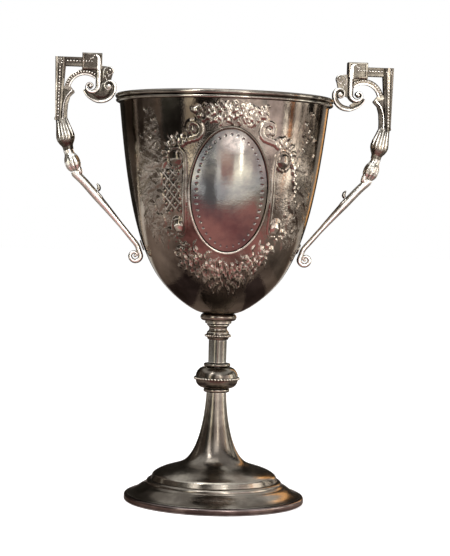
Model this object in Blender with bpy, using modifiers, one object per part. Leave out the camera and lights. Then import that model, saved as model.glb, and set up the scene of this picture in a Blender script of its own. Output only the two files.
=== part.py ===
"""Two-handled presentation cup in plated silver, free standing, about ten inches to the rim.

Metres, +Z up. The origin is under the middle of the foot, on the surface that the cup stands on.
The handles lie in the XZ plane, and the oval plate faces -Y. The pieces of the stem are stacked on
the foot in the order in which they are threaded on the tie rod, each one on a seat clearance.
"""

import math

import bmesh
import bpy
from mathutils import Matrix, Vector

MM = 0.001

# Clearances
SEAT_GAP = 0.3 * MM
ROD_CLEARANCE = 0.5 * MM

# Smoothness of the round pieces
BODY_SEGMENTS = 48
STEM_SEGMENTS = 24
ROD_SEGMENTS = 16

# Foot: spun trumpet, dome and two ridges, on a plain upright band
FOOT_RADIUS = 56.6 * MM
FOOT_RING_HEIGHT = 4.2 * MM
FOOT_RING_WIDTH = 3.4 * MM
FOOT_RING_ROUNDING = 0.8 * MM
FOOT_HEIGHT = 68.4 * MM
FOOT_WALL = 1.1 * MM
FOOT_EDGE_INSET = 1.6 * MM
TRUMPET_TOP_RADIUS = 6.3 * MM
TRUMPET_BASE_RADIUS = 21.5 * MM
TRUMPET_BASE_HEIGHT = 23.9 * MM
DOME_RADIUS = 38.8 * MM
DOME_EDGE_HEIGHT = 16.5 * MM
UPPER_RIDGE_RADIUS = 42.7 * MM
UPPER_RIDGE_HEIGHT = 13.5 * MM
UPPER_RIDGE_DROP = 2.2 * MM
LOWER_RIDGE_HEIGHT = 10.2 * MM
COVE_WIDTH = 1.3 * MM

# Fullness of the foot and of the knop: two pull points for each curve, as shares of its width and drop
TRUMPET_PULLS = ((0.04, 0.38), (0.31, 0.915))
DOME_PULLS = ((0.20, 0.27), (0.76, 0.42))
RIDGE_PULLS = ((0.6, 0.0), (1.0, 0.4))
SKIRT_PULLS = ((0.32, 0.17), (0.42, 0.67))
KNOP_LOWER_PULLS = ((0.0, 0.5), (0.31, 0.92))
KNOP_UPPER_PULLS = ((0.52, 0.07), (1.0, 0.46))

# Knop and the pieces of the stem
COLLAR_HEIGHT = 2.4 * MM
LOWER_COLLAR_RADIUS = 8.2 * MM
KNOP_RADIUS = 13.4 * MM
KNOP_MOUTH_RADIUS = 8.7 * MM
KNOP_WALL = 1.0 * MM
KNOP_LOWER_HEIGHT = 5.9 * MM
KNOP_UPPER_HEIGHT = 6.9 * MM
KNOP_WIRE_WIDTH = 1.0 * MM
KNOP_WIRE_HEIGHT = 1.7 * MM
UPPER_COLLAR_RADIUS = 8.4 * MM
UPPER_COLLAR_HEIGHT = 2.1 * MM
STEM_RADIUS = 5.7 * MM
STEM_HEIGHT = 14.4 * MM
STEM_WALL = 1.2 * MM
RING_RADIUS = 8.5 * MM
RING_HEIGHT = 3.9 * MM
RING_EDGE_TOP = 0.72
RING_EDGE_BOTTOM = 0.5
RING_FOOT_SHARE = 0.3
SPOOL_END_RADIUS = 7.1 * MM
SPOOL_WAIST_RADIUS = 5.6 * MM
SPOOL_HEIGHT = 5.1 * MM
SPOOL_WAIST_SHARE = 0.3
BOWL_COLLAR_RADIUS = 11.4 * MM
BOWL_COLLAR_HEIGHT = 6.7 * MM
BOWL_COLLAR_STEP_RADIUS = 8.3 * MM
BOWL_COLLAR_STEP_HEIGHT = 2.2 * MM
BOWL_COLLAR_CHAMFER = 0.66 * MM

# What holds the cup together inside
ROD_RADIUS = 2.0 * MM
ROD_TAIL = 1.6 * MM
BOSS_RADIUS = 5.4 * MM
BOSS_HEIGHT = 4.0 * MM
BOSS_CROWN = 1.0 * MM
WASHER_RADIUS = 23.0 * MM
WASHER_THICKNESS = 1.4 * MM
NUT_ACROSS_CORNERS = 8.1 * MM
NUT_HEIGHT = 3.2 * MM

# Bowl: raised shell with a full belly and nearly straight sides
BOWL_HEIGHT = 135.0 * MM
BOWL_WALL = 1.1 * MM
BOWL_BASE_RADIUS = 10.5 * MM
BELLY_RADIUS = 40.5 * MM
BELLY_HEIGHT = 24.6 * MM
BELLY_SLOPE = math.radians(31.9)
MOUTH_RADIUS = 66.0 * MM
MOUTH_SLOPE = math.radians(6.1)
BASE_FULLNESS = 0.12
BELLY_FULLNESS_BELOW = 0.43
BELLY_FULLNESS_ABOVE = 0.25
MOUTH_FULLNESS = 0.43

# Reeded wire round the mouth: a wide reed over a narrow one
RIM_WIRE_WIDTH = 2.1 * MM
RIM_LIP = 0.5 * MM
UPPER_REED_HEIGHT = 3.1 * MM
LOWER_REED_HEIGHT = 2.3 * MM
LOWER_REED_INSET = 0.5 * MM

# Oval plate and its wire frame on the front of the bowl
PLATE_HALF_WIDTH = 22.6 * MM
PLATE_HALF_HEIGHT = 36.0 * MM
PLATE_CENTRE_DROP = 59.5 * MM
PLATE_THICKNESS = 0.7 * MM
BORDER_WIRE_RADIUS = 0.9 * MM
BORDER_POINTS = 40

# Handles, measured in their own plane: out from the axis of the cup, and up from the rim
HANDLE_DEPTH = 6.4 * MM
PLAQUE_DEPTH = 8.0 * MM
PLAQUE_WIDTH = 12.4 * MM
PLAQUE_HEIGHT = 10.2 * MM
PLAQUE_EDGE = 0.8 * MM
PLAQUE_RISE = 24.1 * MM
BAR_HEIGHT = 5.6 * MM
BAR_REACH = 16.3 * MM
BAR_RISE = 21.3 * MM
OUTER_BAR_WIDTH = 6.6 * MM
OUTER_BAR_FOOT_WIDTH = 3.4 * MM
OUTER_BAR_LEAN = 0.9 * MM
OUTER_BAR_FOOT_DROP = 18.0 * MM
C_SCROLL_RADIUS = 8.3 * MM
C_SCROLL_WIDTH = 2.4 * MM
C_SCROLL_RISE = 3.2 * MM
C_SCROLL_SPREAD = 0.6 * MM
VOLUTE_RADIUS = 3.2 * MM
VOLUTE_RISE = 0.7 * MM
VOLUTE_CURL = (1.0, 0.94, 0.69, 0.5, 0.28)
VOLUTE_TAPER = (1.0, 0.7, 0.55, 0.5, 0.45)
C_SCROLL_TAIL_ANGLE = math.radians(325.0)
SCROLL_OFFSET = 6.6 * MM
SCROLL_RISE = 3.7 * MM
SCROLL_RADIUS = 4.9 * MM
SCROLL_WIDTH = 3.8 * MM
SCROLL_CURL = (1.0, 0.71, 0.5, 0.36, 0.22)
SCROLL_TAPER = (1.0, 0.63, 0.4, 0.35, 0.32)
UPPER_VOLUTE_RADIUS = 3.2 * MM
UPPER_VOLUTE_WIDTH = 1.6 * MM
UPPER_VOLUTE_RISE = 12.9 * MM
UPPER_VOLUTE_TAIL = 4.0 * MM
UPPER_VOLUTE_CURL = (1.0, 0.84, 0.68, 0.5, 0.31)
UPPER_VOLUTE_TAPER = (1.0, 1.0, 0.9, 0.8, 0.75)
ARCH_RISE = 1.2 * MM
ARCH_OUTER_RADIUS = 12.6 * MM
ARCH_WIDTH = 3.3 * MM
ARCH_START = math.radians(12.0)
ARCH_END = math.radians(117.0)
LEAF_TIP_REACH = 6.6 * MM
LEAF_TIP_DROP = 2.8 * MM
LEAF_WIDTH = 3.4 * MM
LEAF_NECK_WIDTH = 3.0 * MM
LEAF_NECK_FROM = 0.26
LEAF_NECK_TO = 0.6
LEAF_DEPTH = 4.8 * MM
HUSK_RADIUS = 5.4 * MM
HUSK_LENGTH = 17.6 * MM
HUSK_NECK_RADIUS = 2.9 * MM
HUSK_LEAN = 4.6 * MM
HUSK_PLACES = (0.3, 0.58, 0.78, 0.9)
HUSK_SWELL = (0.8, 1.0, 0.86, 0.6)
BUD_RADIUS = 4.8 * MM
BUD_LENGTH = 12.4 * MM
BUD_LEAN = 4.4 * MM
BUD_PLACES = (0.0, 0.22, 0.5, 0.78, 1.0)
BUD_SHOULDER = 0.9
ARM_TOP_RADIUS = 2.6 * MM
ARM_END_RADIUS = 1.7 * MM
ARM_BOW = 0.5 * MM
ARM_PLACES = (0.13, 0.3, 0.5, 0.72, 0.9)
END_VOLUTE_RADIUS = 3.5 * MM
END_VOLUTE_DROP = 6.6 * MM
END_VOLUTE_CURL = (1.0, 0.98, 0.9, 0.6, 0.27)
END_VOLUTE_TAPER = (0.95, 0.85, 0.75, 0.6, 0.4)
SPUR_LENGTH = 4.4 * MM
SPUR_RADIUS = 1.1 * MM
SPUR_PLACE = 0.30
SPUR_CURVE = ((0.0, 0.0), (0.25, 0.0), (0.32, 0.35), (0.12, 0.9))
SPUR_TAPER = (1.0, 1.1, 0.9, 0.3)
SPUR_TILT = math.radians(14.0)
PAD_DROP = 94.2 * MM
PAD_HALF_HEIGHT = 3.2 * MM
PAD_HALF_WIDTH = 2.8 * MM
PAD_THICKNESS = 0.8 * MM

# Colours of the metal, linear
SILVER = (0.34, 0.31, 0.27, 1.0)
SILVER_DARK = (0.22, 0.20, 0.18, 1.0)
SILVER_CAST = (0.42, 0.38, 0.32, 1.0)
SILVER_BRIGHT = (0.62, 0.60, 0.56, 1.0)
STEEL = (0.30, 0.30, 0.31, 1.0)


def clear_scene():
    """Removes every object that is already in the file."""
    for obj in list(bpy.data.objects):
        bpy.data.objects.remove(obj, do_unlink=True)


def new_collection(name):
    """A collection linked to the scene."""
    collection = bpy.data.collections.new(name)
    bpy.context.scene.collection.children.link(collection)
    return collection


def metal(name, colour, roughness):
    """A Principled metal for one piece."""
    material = bpy.data.materials.new(name + "_metal")
    material.use_nodes = True
    shader = material.node_tree.nodes["Principled BSDF"]
    shader.inputs["Base Color"].default_value = colour
    shader.inputs["Metallic"].default_value = 1.0
    shader.inputs["Roughness"].default_value = roughness
    return material


def bezier(start, pull_start, pull_end, end, steps):
    """Points of a cubic curve in the plane, both ends included."""
    points = []
    for step in range(steps + 1):
        t = step / steps
        u = 1.0 - t
        weights = (u**3, 3 * u * u * t, 3 * u * t * t, t**3)
        corners = (start, pull_start, pull_end, end)
        points.append(tuple(sum(w * c[k] for w, c in zip(weights, corners)) for k in (0, 1)))
    return points


def profile_curve(start, end, pulls, steps):
    """A cubic curve whose pull points are given as shares of the way from its start to its end."""
    width = end[0] - start[0]
    drop = end[1] - start[1]
    pulled = [(start[0] + across * width, start[1] + down * drop) for across, down in pulls]
    return bezier(start, pulled[0], pulled[1], end, steps)


def arc(centre, radius_x, radius_z, start, end, steps):
    """Points of an elliptical arc in the plane, both ends included."""
    points = []
    for step in range(steps + 1):
        angle = start + (end - start) * step / steps
        points.append((centre[0] + radius_x * math.cos(angle), centre[1] + radius_z * math.sin(angle)))
    return points


def normals(outline):
    """A unit normal at each point of an open outline, to the left of its direction."""
    result = []
    for index in range(len(outline)):
        before = Vector(outline[max(index - 1, 0)])
        after = Vector(outline[min(index + 1, len(outline) - 1)])
        along = (after - before).normalized()
        result.append(Vector((-along.y, along.x)))
    return result


def offset(outline, distance):
    """The open outline moved to its left by a distance."""
    moved = [Vector(point) + normal * distance for point, normal in zip(outline, normals(outline))]
    return [tuple(point) for point in moved]


def value_at(outline, x):
    """The second coordinate of an outline where its first is x."""
    pairs = sorted(outline)
    for (x0, y0), (x1, y1) in zip(pairs, pairs[1:]):
        if x0 <= x <= x1 and x1 > x0:
            return y0 + (y1 - y0) * (x - x0) / (x1 - x0)
    return pairs[-1][1] if x > pairs[-1][0] else pairs[0][1]


def finish(obj, collection, material):
    """Gives a piece its material and puts it in its collection."""
    obj.data.materials.append(material)
    collection.objects.link(obj)
    return obj


def turned(name, outline, material, collection, segments=STEM_SEGMENTS):
    """A turned piece. The outline is closed, and its outer side runs from top to bottom."""
    mesh = bpy.data.meshes.new(name)
    points = [(radius, 0.0, height) for radius, height in outline]
    edges = [(index, index + 1) for index in range(len(points) - 1)]
    on_axis = outline[0][0] == 0.0 and outline[-1][0] == 0.0
    if not on_axis:
        edges.append((len(points) - 1, 0))
    mesh.from_pydata(points, edges, [])
    obj = finish(bpy.data.objects.new(name, mesh), collection, material)
    screw = obj.modifiers.new("turn", "SCREW")
    screw.angle = math.tau
    screw.steps = segments
    screw.render_steps = segments
    screw.use_merge_vertices = True
    screw.merge_threshold = 0.00001
    return obj


def flat_curve(name, outline, half_thickness):
    """A closed outline in the XZ plane, filled and thickened both ways along Y."""
    curve = bpy.data.curves.new(name, "CURVE")
    curve.dimensions = "2D"
    curve.fill_mode = "BOTH"
    curve.extrude = half_thickness
    spline = curve.splines.new("POLY")
    spline.points.add(len(outline) - 1)
    for point, (x, z) in zip(spline.points, outline):
        point.co = (x, z, 0.0, 1.0)
    spline.use_cyclic_u = True
    obj = bpy.data.objects.new(name, curve)
    obj.rotation_euler = (math.pi / 2, 0.0, 0.0)
    return obj


def rod_curve(name, points, radii, sides_level, closed=False):
    """A round rod through points in space, with a radius at each."""
    curve = bpy.data.curves.new(name, "CURVE")
    curve.dimensions = "3D"
    curve.bevel_depth = 1.0
    curve.bevel_resolution = sides_level
    curve.use_fill_caps = True
    spline = curve.splines.new("POLY")
    spline.points.add(len(points) - 1)
    for point, place, radius in zip(spline.points, points, radii):
        point.co = (*place, 1.0)
        point.radius = radius
    spline.use_cyclic_u = closed
    return bpy.data.objects.new(name, curve)


def as_mesh(obj, scene_collection):
    """The curve made a mesh with its caps welded, in the same place. The curve is removed."""
    scene_collection.objects.link(obj)
    bpy.context.view_layer.update()
    graph = bpy.context.evaluated_depsgraph_get()
    mesh = bpy.data.meshes.new_from_object(obj.evaluated_get(graph))
    place = obj.matrix_world.copy()
    name = obj.name
    bpy.data.objects.remove(obj, do_unlink=True)
    shape = bmesh.new()
    shape.from_mesh(mesh)
    bmesh.ops.transform(shape, matrix=place, verts=shape.verts)
    bmesh.ops.remove_doubles(shape, verts=shape.verts, dist=0.000001)
    bmesh.ops.recalc_face_normals(shape, faces=shape.faces)
    shape.to_mesh(mesh)
    shape.free()
    mesh.materials.clear()
    return bpy.data.objects.new(name, mesh)


def plate(name, outline, depth, material, collection, edge=0.0):
    """A flat piece of the handle, with its edges broken where an edge width is given."""
    obj = as_mesh(flat_curve(name, outline, depth / 2), bpy.context.scene.collection)
    finish(obj, collection, material)
    if edge:
        bevel = obj.modifiers.new("edge", "BEVEL")
        bevel.width = edge
        bevel.segments = 1
        bevel.limit_method = "ANGLE"
    return obj


def rod(name, points, radii, material, collection, sides_level=2, closed=False):
    """A round piece of the handle, or a bent wire."""
    obj = as_mesh(rod_curve(name, points, radii, sides_level, closed), bpy.context.scene.collection)
    return finish(obj, collection, material)


def band(path, widths):
    """The closed outline of a flat bar that follows a path, with a width at each point."""
    sides = normals(path)
    left = [tuple(Vector(p) + n * w / 2) for p, n, w in zip(path, sides, widths)]
    right = [tuple(Vector(p) - n * w / 2) for p, n, w in zip(path, sides, widths)]
    return left + right[::-1]


def spiral(centre, start, end, radii, steps):
    """Points of a curl round a centre, from one angle to another, through radii at equal turns."""
    points = []
    for step in range(steps + 1):
        share = step / steps
        place = share * (len(radii) - 1)
        index = min(int(place), len(radii) - 2)
        radius = radii[index] + (radii[index + 1] - radii[index]) * (place - index)
        angle = start + (end - start) * share
        points.append((centre[0] + radius * math.cos(angle), centre[1] + radius * math.sin(angle)))
    return points


def blend(values, count):
    """A list of the given length that passes evenly through the values."""
    result = []
    for index in range(count):
        place = index / (count - 1) * (len(values) - 1)
        low = min(int(place), len(values) - 2)
        result.append(values[low] + (values[low + 1] - values[low]) * (place - low))
    return result


# Heights of the stack, worked out from the pieces
RING_TOP = FOOT_RING_HEIGHT
LOWER_COLLAR_Z = FOOT_HEIGHT + SEAT_GAP
KNOP_LOWER_Z = LOWER_COLLAR_Z + COLLAR_HEIGHT + SEAT_GAP
KNOP_MIDDLE_Z = KNOP_LOWER_Z + KNOP_LOWER_HEIGHT + SEAT_GAP / 2
KNOP_UPPER_Z = KNOP_LOWER_Z + KNOP_LOWER_HEIGHT + SEAT_GAP
UPPER_COLLAR_Z = KNOP_UPPER_Z + KNOP_UPPER_HEIGHT + SEAT_GAP
STEM_Z = UPPER_COLLAR_Z + UPPER_COLLAR_HEIGHT + SEAT_GAP
RING_Z = STEM_Z + STEM_HEIGHT + SEAT_GAP
SPOOL_Z = RING_Z + RING_HEIGHT + SEAT_GAP
BOWL_COLLAR_Z = SPOOL_Z + SPOOL_HEIGHT + SEAT_GAP
BOWL_Z = BOWL_COLLAR_Z + BOWL_COLLAR_HEIGHT + SEAT_GAP
BOWL_TOP = BOWL_Z + BOWL_HEIGHT
RIM_TOP = BOWL_TOP + RIM_LIP
BORE_RADIUS = ROD_RADIUS + ROD_CLEARANCE


def foot_upper():
    """Outer side of the trumpet and the dome, from the top down."""
    base = (TRUMPET_BASE_RADIUS, TRUMPET_BASE_HEIGHT)
    trumpet = profile_curve((TRUMPET_TOP_RADIUS, FOOT_HEIGHT), base, TRUMPET_PULLS, 9)
    dome = profile_curve(base, (DOME_RADIUS, DOME_EDGE_HEIGHT), DOME_PULLS, 5)
    return trumpet[:-1] + dome


def foot_lower():
    """Outer side of the ridge and the skirt, down to the edge on the band."""
    ridge_top = (DOME_RADIUS + COVE_WIDTH, UPPER_RIDGE_HEIGHT)
    ridge_foot = (UPPER_RIDGE_RADIUS, UPPER_RIDGE_HEIGHT - UPPER_RIDGE_DROP)
    skirt_top = (UPPER_RIDGE_RADIUS + COVE_WIDTH, LOWER_RIDGE_HEIGHT)
    edge = (FOOT_RADIUS - FOOT_EDGE_INSET, RING_TOP + SEAT_GAP)
    ridge = profile_curve(ridge_top, ridge_foot, RIDGE_PULLS, 3)
    return ridge + profile_curve(skirt_top, edge, SKIRT_PULLS, 4)


def foot_inside():
    """Inner side of the foot shell, from its edge up to the bore of the trumpet."""
    edge = (FOOT_RADIUS - FOOT_EDGE_INSET - FOOT_WALL, RING_TOP + SEAT_GAP)
    under_ridge = (UPPER_RIDGE_RADIUS - FOOT_WALL, LOWER_RIDGE_HEIGHT - FOOT_WALL)
    smooth = offset(foot_upper(), -FOOT_WALL)
    smooth[0] = (TRUMPET_TOP_RADIUS - FOOT_WALL, FOOT_HEIGHT)
    return [edge, under_ridge] + smooth[::-1]


def bowl_outline():
    """Outer side of the bowl, from the mouth down to the edge of its flat base."""
    base = Vector((BOWL_BASE_RADIUS, BOWL_Z))
    belly = Vector((BELLY_RADIUS, BOWL_Z + BELLY_HEIGHT))
    mouth = Vector((MOUTH_RADIUS, BOWL_TOP))
    lower = (belly - base).length
    upper = (mouth - belly).length
    belly_way = Vector((math.sin(BELLY_SLOPE), math.cos(BELLY_SLOPE)))
    mouth_way = Vector((math.sin(MOUTH_SLOPE), math.cos(MOUTH_SLOPE)))
    side = bezier(
        mouth,
        mouth - mouth_way * upper * MOUTH_FULLNESS,
        belly + belly_way * upper * BELLY_FULLNESS_ABOVE,
        belly,
        8,
    )
    bottom = bezier(
        belly,
        belly - belly_way * lower * BELLY_FULLNESS_BELOW,
        base + Vector((lower * BASE_FULLNESS, 0.0)),
        base,
        6,
    )
    return side[:-1] + bottom


BOWL_SIDE = bowl_outline()


def bowl_radius(height):
    """Outer radius of the bowl at a height."""
    return value_at([(z, r) for r, z in BOWL_SIDE], height)


def make_foot(parts):
    """The foot shell and the band under its edge."""
    shell = foot_upper() + foot_lower() + foot_inside()
    turned("foot", shell, metal("foot", SILVER, 0.22), parts, BODY_SEGMENTS)
    inner = FOOT_RADIUS - FOOT_RING_WIDTH
    ring = [
        (inner, RING_TOP),
        (FOOT_RADIUS - FOOT_RING_ROUNDING, RING_TOP),
        (FOOT_RADIUS, RING_TOP - FOOT_RING_ROUNDING),
        (FOOT_RADIUS, 0.0),
        (inner, 0.0),
    ]
    turned("foot_ring", ring, metal("foot_ring", SILVER_DARK, 0.28), parts, BODY_SEGMENTS)


def make_collar(name, radius, bottom, height, parts):
    """A plain turned collar with a rounded side, bored for the tie rod."""
    middle = (radius - height / 3, bottom + height / 2)
    side = arc(middle, height / 3, height / 2, math.pi / 2, -math.pi / 2, 4)
    outline = side + [(BORE_RADIUS, bottom), (BORE_RADIUS, bottom + height)]
    turned(name, outline, metal(name, SILVER, 0.25), parts)


def make_knop(parts):
    """Two half shells, the wire over their joint, and the collars above and below."""
    make_collar("knop_lower_collar", LOWER_COLLAR_RADIUS, LOWER_COLLAR_Z, COLLAR_HEIGHT, parts)
    make_collar("knop_upper_collar", UPPER_COLLAR_RADIUS, UPPER_COLLAR_Z, UPPER_COLLAR_HEIGHT, parts)
    lower_mouth = (KNOP_MOUTH_RADIUS, KNOP_LOWER_Z)
    lower_edge = (KNOP_RADIUS, KNOP_LOWER_Z + KNOP_LOWER_HEIGHT)
    lower = profile_curve(lower_edge, lower_mouth, KNOP_LOWER_PULLS, 5)
    inside = offset(lower, -KNOP_WALL)
    turned("knop_lower_shell", lower + inside[::-1], metal("knop_lower_shell", SILVER, 0.22), parts)
    upper_mouth = (KNOP_MOUTH_RADIUS, KNOP_UPPER_Z + KNOP_UPPER_HEIGHT)
    upper_edge = (KNOP_RADIUS, KNOP_UPPER_Z)
    upper = profile_curve(upper_mouth, upper_edge, KNOP_UPPER_PULLS, 5)
    inside = offset(upper, -KNOP_WALL)
    turned("knop_upper_shell", upper + inside[::-1], metal("knop_upper_shell", SILVER, 0.22), parts)
    inner = KNOP_RADIUS + SEAT_GAP
    side = arc((inner, KNOP_MIDDLE_Z), KNOP_WIRE_WIDTH, KNOP_WIRE_HEIGHT / 2, math.pi / 2, -math.pi / 2, 4)
    turned("knop_bead_wire", side, metal("knop_bead_wire", SILVER_BRIGHT, 0.25), parts, BODY_SEGMENTS)


def make_stem(parts):
    """The plain stem, the beaded ring, the waisted spool and the collar under the bowl."""
    inner = STEM_RADIUS - STEM_WALL
    tube = [
        (STEM_RADIUS, STEM_Z + STEM_HEIGHT),
        (STEM_RADIUS, STEM_Z),
        (inner, STEM_Z),
        (inner, STEM_Z + STEM_HEIGHT),
    ]
    turned("stem_tube", tube, metal("stem_tube", SILVER_BRIGHT, 0.2), parts)
    ring = [
        (SPOOL_END_RADIUS, RING_Z + RING_HEIGHT),
        (RING_RADIUS, RING_Z + RING_EDGE_TOP * RING_HEIGHT),
        (RING_RADIUS, RING_Z + RING_EDGE_BOTTOM * RING_HEIGHT),
        (STEM_RADIUS + RING_FOOT_SHARE * (RING_RADIUS - STEM_RADIUS), RING_Z),
        (BORE_RADIUS, RING_Z),
        (BORE_RADIUS, RING_Z + RING_HEIGHT),
    ]
    turned("beaded_ring", ring, metal("beaded_ring", SILVER_BRIGHT, 0.25), parts)
    spool_top = SPOOL_Z + SPOOL_HEIGHT
    waist_pull = (4 * SPOOL_WAIST_RADIUS - SPOOL_END_RADIUS) / 3
    waist = bezier(
        (SPOOL_END_RADIUS, spool_top),
        (waist_pull, spool_top - SPOOL_WAIST_SHARE * SPOOL_HEIGHT),
        (waist_pull, SPOOL_Z + SPOOL_WAIST_SHARE * SPOOL_HEIGHT),
        (SPOOL_END_RADIUS, SPOOL_Z),
        6,
    )
    bore = [(BORE_RADIUS, SPOOL_Z), (BORE_RADIUS, spool_top)]
    turned("neck_spool", waist + bore, metal("neck_spool", SILVER, 0.22), parts)
    top = BOWL_COLLAR_Z + BOWL_COLLAR_HEIGHT
    step_top = BOWL_COLLAR_Z + BOWL_COLLAR_STEP_HEIGHT
    swell = (top - step_top) / 2
    socket = BOSS_RADIUS + SEAT_GAP
    socket_floor = top - BOSS_HEIGHT
    torus = arc((BOWL_COLLAR_RADIUS - swell, step_top + swell), swell, swell, math.pi / 2, -math.pi / 2, 6)
    step = [
        (BOWL_COLLAR_STEP_RADIUS, step_top),
        (BOWL_COLLAR_STEP_RADIUS, BOWL_COLLAR_Z + BOWL_COLLAR_CHAMFER),
        (SPOOL_END_RADIUS, BOWL_COLLAR_Z),
    ]
    bore = [(BORE_RADIUS, BOWL_COLLAR_Z), (BORE_RADIUS, socket_floor), (socket, socket_floor), (socket, top)]
    turned("bowl_collar", torus + step + bore, metal("bowl_collar", SILVER, 0.22), parts)


def make_fastening(parts):
    """The threaded boss under the bowl, the tie rod, the washer in the foot and its nut."""
    boss_top = BOWL_Z - SEAT_GAP
    boss_bottom = boss_top - BOSS_HEIGHT + SEAT_GAP
    rod_top = boss_top - BOSS_CROWN - SEAT_GAP
    hole = ROD_RADIUS + SEAT_GAP
    boss = [
        (0.0, boss_top - BOSS_CROWN),
        (hole, boss_top - BOSS_CROWN),
        (hole, boss_bottom),
        (BOSS_RADIUS, boss_bottom),
        (BOSS_RADIUS, boss_top),
        (0.0, boss_top),
    ]
    turned("bowl_boss", boss[::-1], metal("bowl_boss", STEEL, 0.4), parts, ROD_SEGMENTS)
    inside = sorted(foot_inside())
    washer_top = value_at(inside, WASHER_RADIUS) - SEAT_GAP
    washer = [
        (WASHER_RADIUS, washer_top),
        (WASHER_RADIUS, washer_top - WASHER_THICKNESS),
        (BORE_RADIUS, washer_top - WASHER_THICKNESS),
        (BORE_RADIUS, washer_top),
    ]
    turned("washer", washer, metal("washer", STEEL, 0.5), parts)
    nut_top = washer_top - WASHER_THICKNESS - SEAT_GAP
    nut_bottom = nut_top - NUT_HEIGHT
    nut = [
        (NUT_ACROSS_CORNERS / 2, nut_top),
        (NUT_ACROSS_CORNERS / 2, nut_bottom),
        (hole, nut_bottom),
        (hole, nut_top),
    ]
    turned("nut", nut, metal("nut", STEEL, 0.45), parts, 6)
    rod_bottom = nut_bottom - ROD_TAIL
    bpy.ops.mesh.primitive_cylinder_add(
        vertices=ROD_SEGMENTS,
        radius=ROD_RADIUS,
        depth=rod_top - rod_bottom,
        location=(0.0, 0.0, (rod_top + rod_bottom) / 2),
    )
    tie_rod = bpy.context.object
    tie_rod.name = "tie_rod"
    for collection in list(tie_rod.users_collection):
        collection.objects.unlink(tie_rod)
    finish(tie_rod, parts, metal("tie_rod", STEEL, 0.4))


def make_bowl(parts):
    """The bowl and the reeded wire round its mouth."""
    inside = offset(BOWL_SIDE, -BOWL_WALL)
    inside[0] = (MOUTH_RADIUS - BOWL_WALL, BOWL_TOP)
    inner_base = (BOWL_BASE_RADIUS, BOWL_Z + BOWL_WALL)
    inner = [(0.0, BOWL_Z + BOWL_WALL), inner_base] + inside[-2:0:-1] + [inside[0]]
    outer = BOWL_SIDE + [(0.0, BOWL_Z)]
    turned("bowl", inner + outer, metal("bowl", SILVER_DARK, 0.18), parts, BODY_SEGMENTS)
    flat = MOUTH_RADIUS + SEAT_GAP
    upper_middle = RIM_TOP - UPPER_REED_HEIGHT / 2
    lower_middle = RIM_TOP - UPPER_REED_HEIGHT - LOWER_REED_HEIGHT / 2
    upper = arc((flat, upper_middle), RIM_WIRE_WIDTH, UPPER_REED_HEIGHT / 2, math.pi / 2, -math.pi / 3, 4)
    lower_width = RIM_WIRE_WIDTH - LOWER_REED_INSET
    lower = arc((flat, lower_middle), lower_width, LOWER_REED_HEIGHT / 2, math.pi / 3, -math.pi / 2, 4)
    turned("rim_wire", upper + lower, metal("rim_wire", SILVER_BRIGHT, 0.25), parts, BODY_SEGMENTS)


def bowl_patch(name, near, far, prism, material, parts, cutters):
    """The piece of a shell over the bowl that lies inside a prism, between two distances off its wall."""
    outer = offset(BOWL_SIDE, far)
    inner = offset(BOWL_SIDE, near)
    shell = turned(name, outer + inner[::-1], material, parts, BODY_SEGMENTS)
    cutters.objects.link(prism)
    prism.hide_render = True
    prism.display_type = "WIRE"
    cut = shell.modifiers.new("outline", "BOOLEAN")
    cut.operation = "INTERSECT"
    cut.object = prism
    return shell


def prism_along_y(name, outline, near, far):
    """A closed prism with the given outline, from one Y to another."""
    prism = as_mesh(flat_curve(name, outline, abs(far - near) / 2), bpy.context.scene.collection)
    prism.data.transform(Matrix.Translation((0.0, (near + far) / 2, 0.0)))
    return prism


def make_plate(parts, cutters):
    """The oval plate and the wire that frames it."""
    middle = RIM_TOP - PLATE_CENTRE_DROP
    oval = arc((0.0, middle), PLATE_HALF_WIDTH, PLATE_HALF_HEIGHT, 0.0, math.tau, BORDER_POINTS)[:-1]
    prism = prism_along_y("plate_cutter", oval, -2 * MOUTH_RADIUS, 0.0)
    far = SEAT_GAP + PLATE_THICKNESS
    name = "presentation_plate"
    bowl_patch(name, SEAT_GAP, far, prism, metal(name, SILVER, 0.2), parts, cutters)
    reach = SEAT_GAP + BORDER_WIRE_RADIUS
    lift = reach + BORDER_WIRE_RADIUS / 4
    points = []
    wide = PLATE_HALF_WIDTH + reach
    high = PLATE_HALF_HEIGHT + reach
    for x, z in arc((0.0, middle), wide, high, 0.0, math.tau, BORDER_POINTS)[:-1]:
        radius = bowl_radius(z) + lift
        points.append((x, -math.sqrt(radius * radius - x * x), z))
    widths = [BORDER_WIRE_RADIUS] * len(points)
    rod("plate_border", points, widths, metal("plate_border", SILVER_BRIGHT, 0.25), parts, 1, True)


def handle_places():
    """The points of the handle that its pieces share, for the side at +X."""
    reed_radius = UPPER_REED_HEIGHT / 2
    reed_z = RIM_TOP - reed_radius
    reed_x = MOUTH_RADIUS + SEAT_GAP + RIM_WIRE_WIDTH - reed_radius
    c_z = RIM_TOP + C_SCROLL_RISE
    reach = C_SCROLL_RADIUS + C_SCROLL_WIDTH / 2 + SEAT_GAP + reed_radius
    c_x = reed_x + math.sqrt(reach * reach - (c_z - reed_z) ** 2)
    scroll = (c_x + SCROLL_OFFSET, RIM_TOP + SCROLL_RISE)
    bar_x = scroll[0] - SCROLL_RADIUS
    plaque_left = bar_x - SCROLL_WIDTH / 2
    plaque_top = RIM_TOP + PLAQUE_RISE
    return {
        "c_scroll": (c_x, c_z),
        "scroll": scroll,
        "plaque_left": plaque_left,
        "plaque_right": plaque_left + PLAQUE_WIDTH,
        "plaque_top": plaque_top,
        "plaque_bottom": plaque_top - PLAQUE_HEIGHT,
        "corner": plaque_left + PLAQUE_WIDTH + SEAT_GAP + BAR_REACH,
    }


def mirrored(outline, sign):
    """The outline on the side of the given sign."""
    return [(sign * x, z) for x, z in outline]


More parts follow.
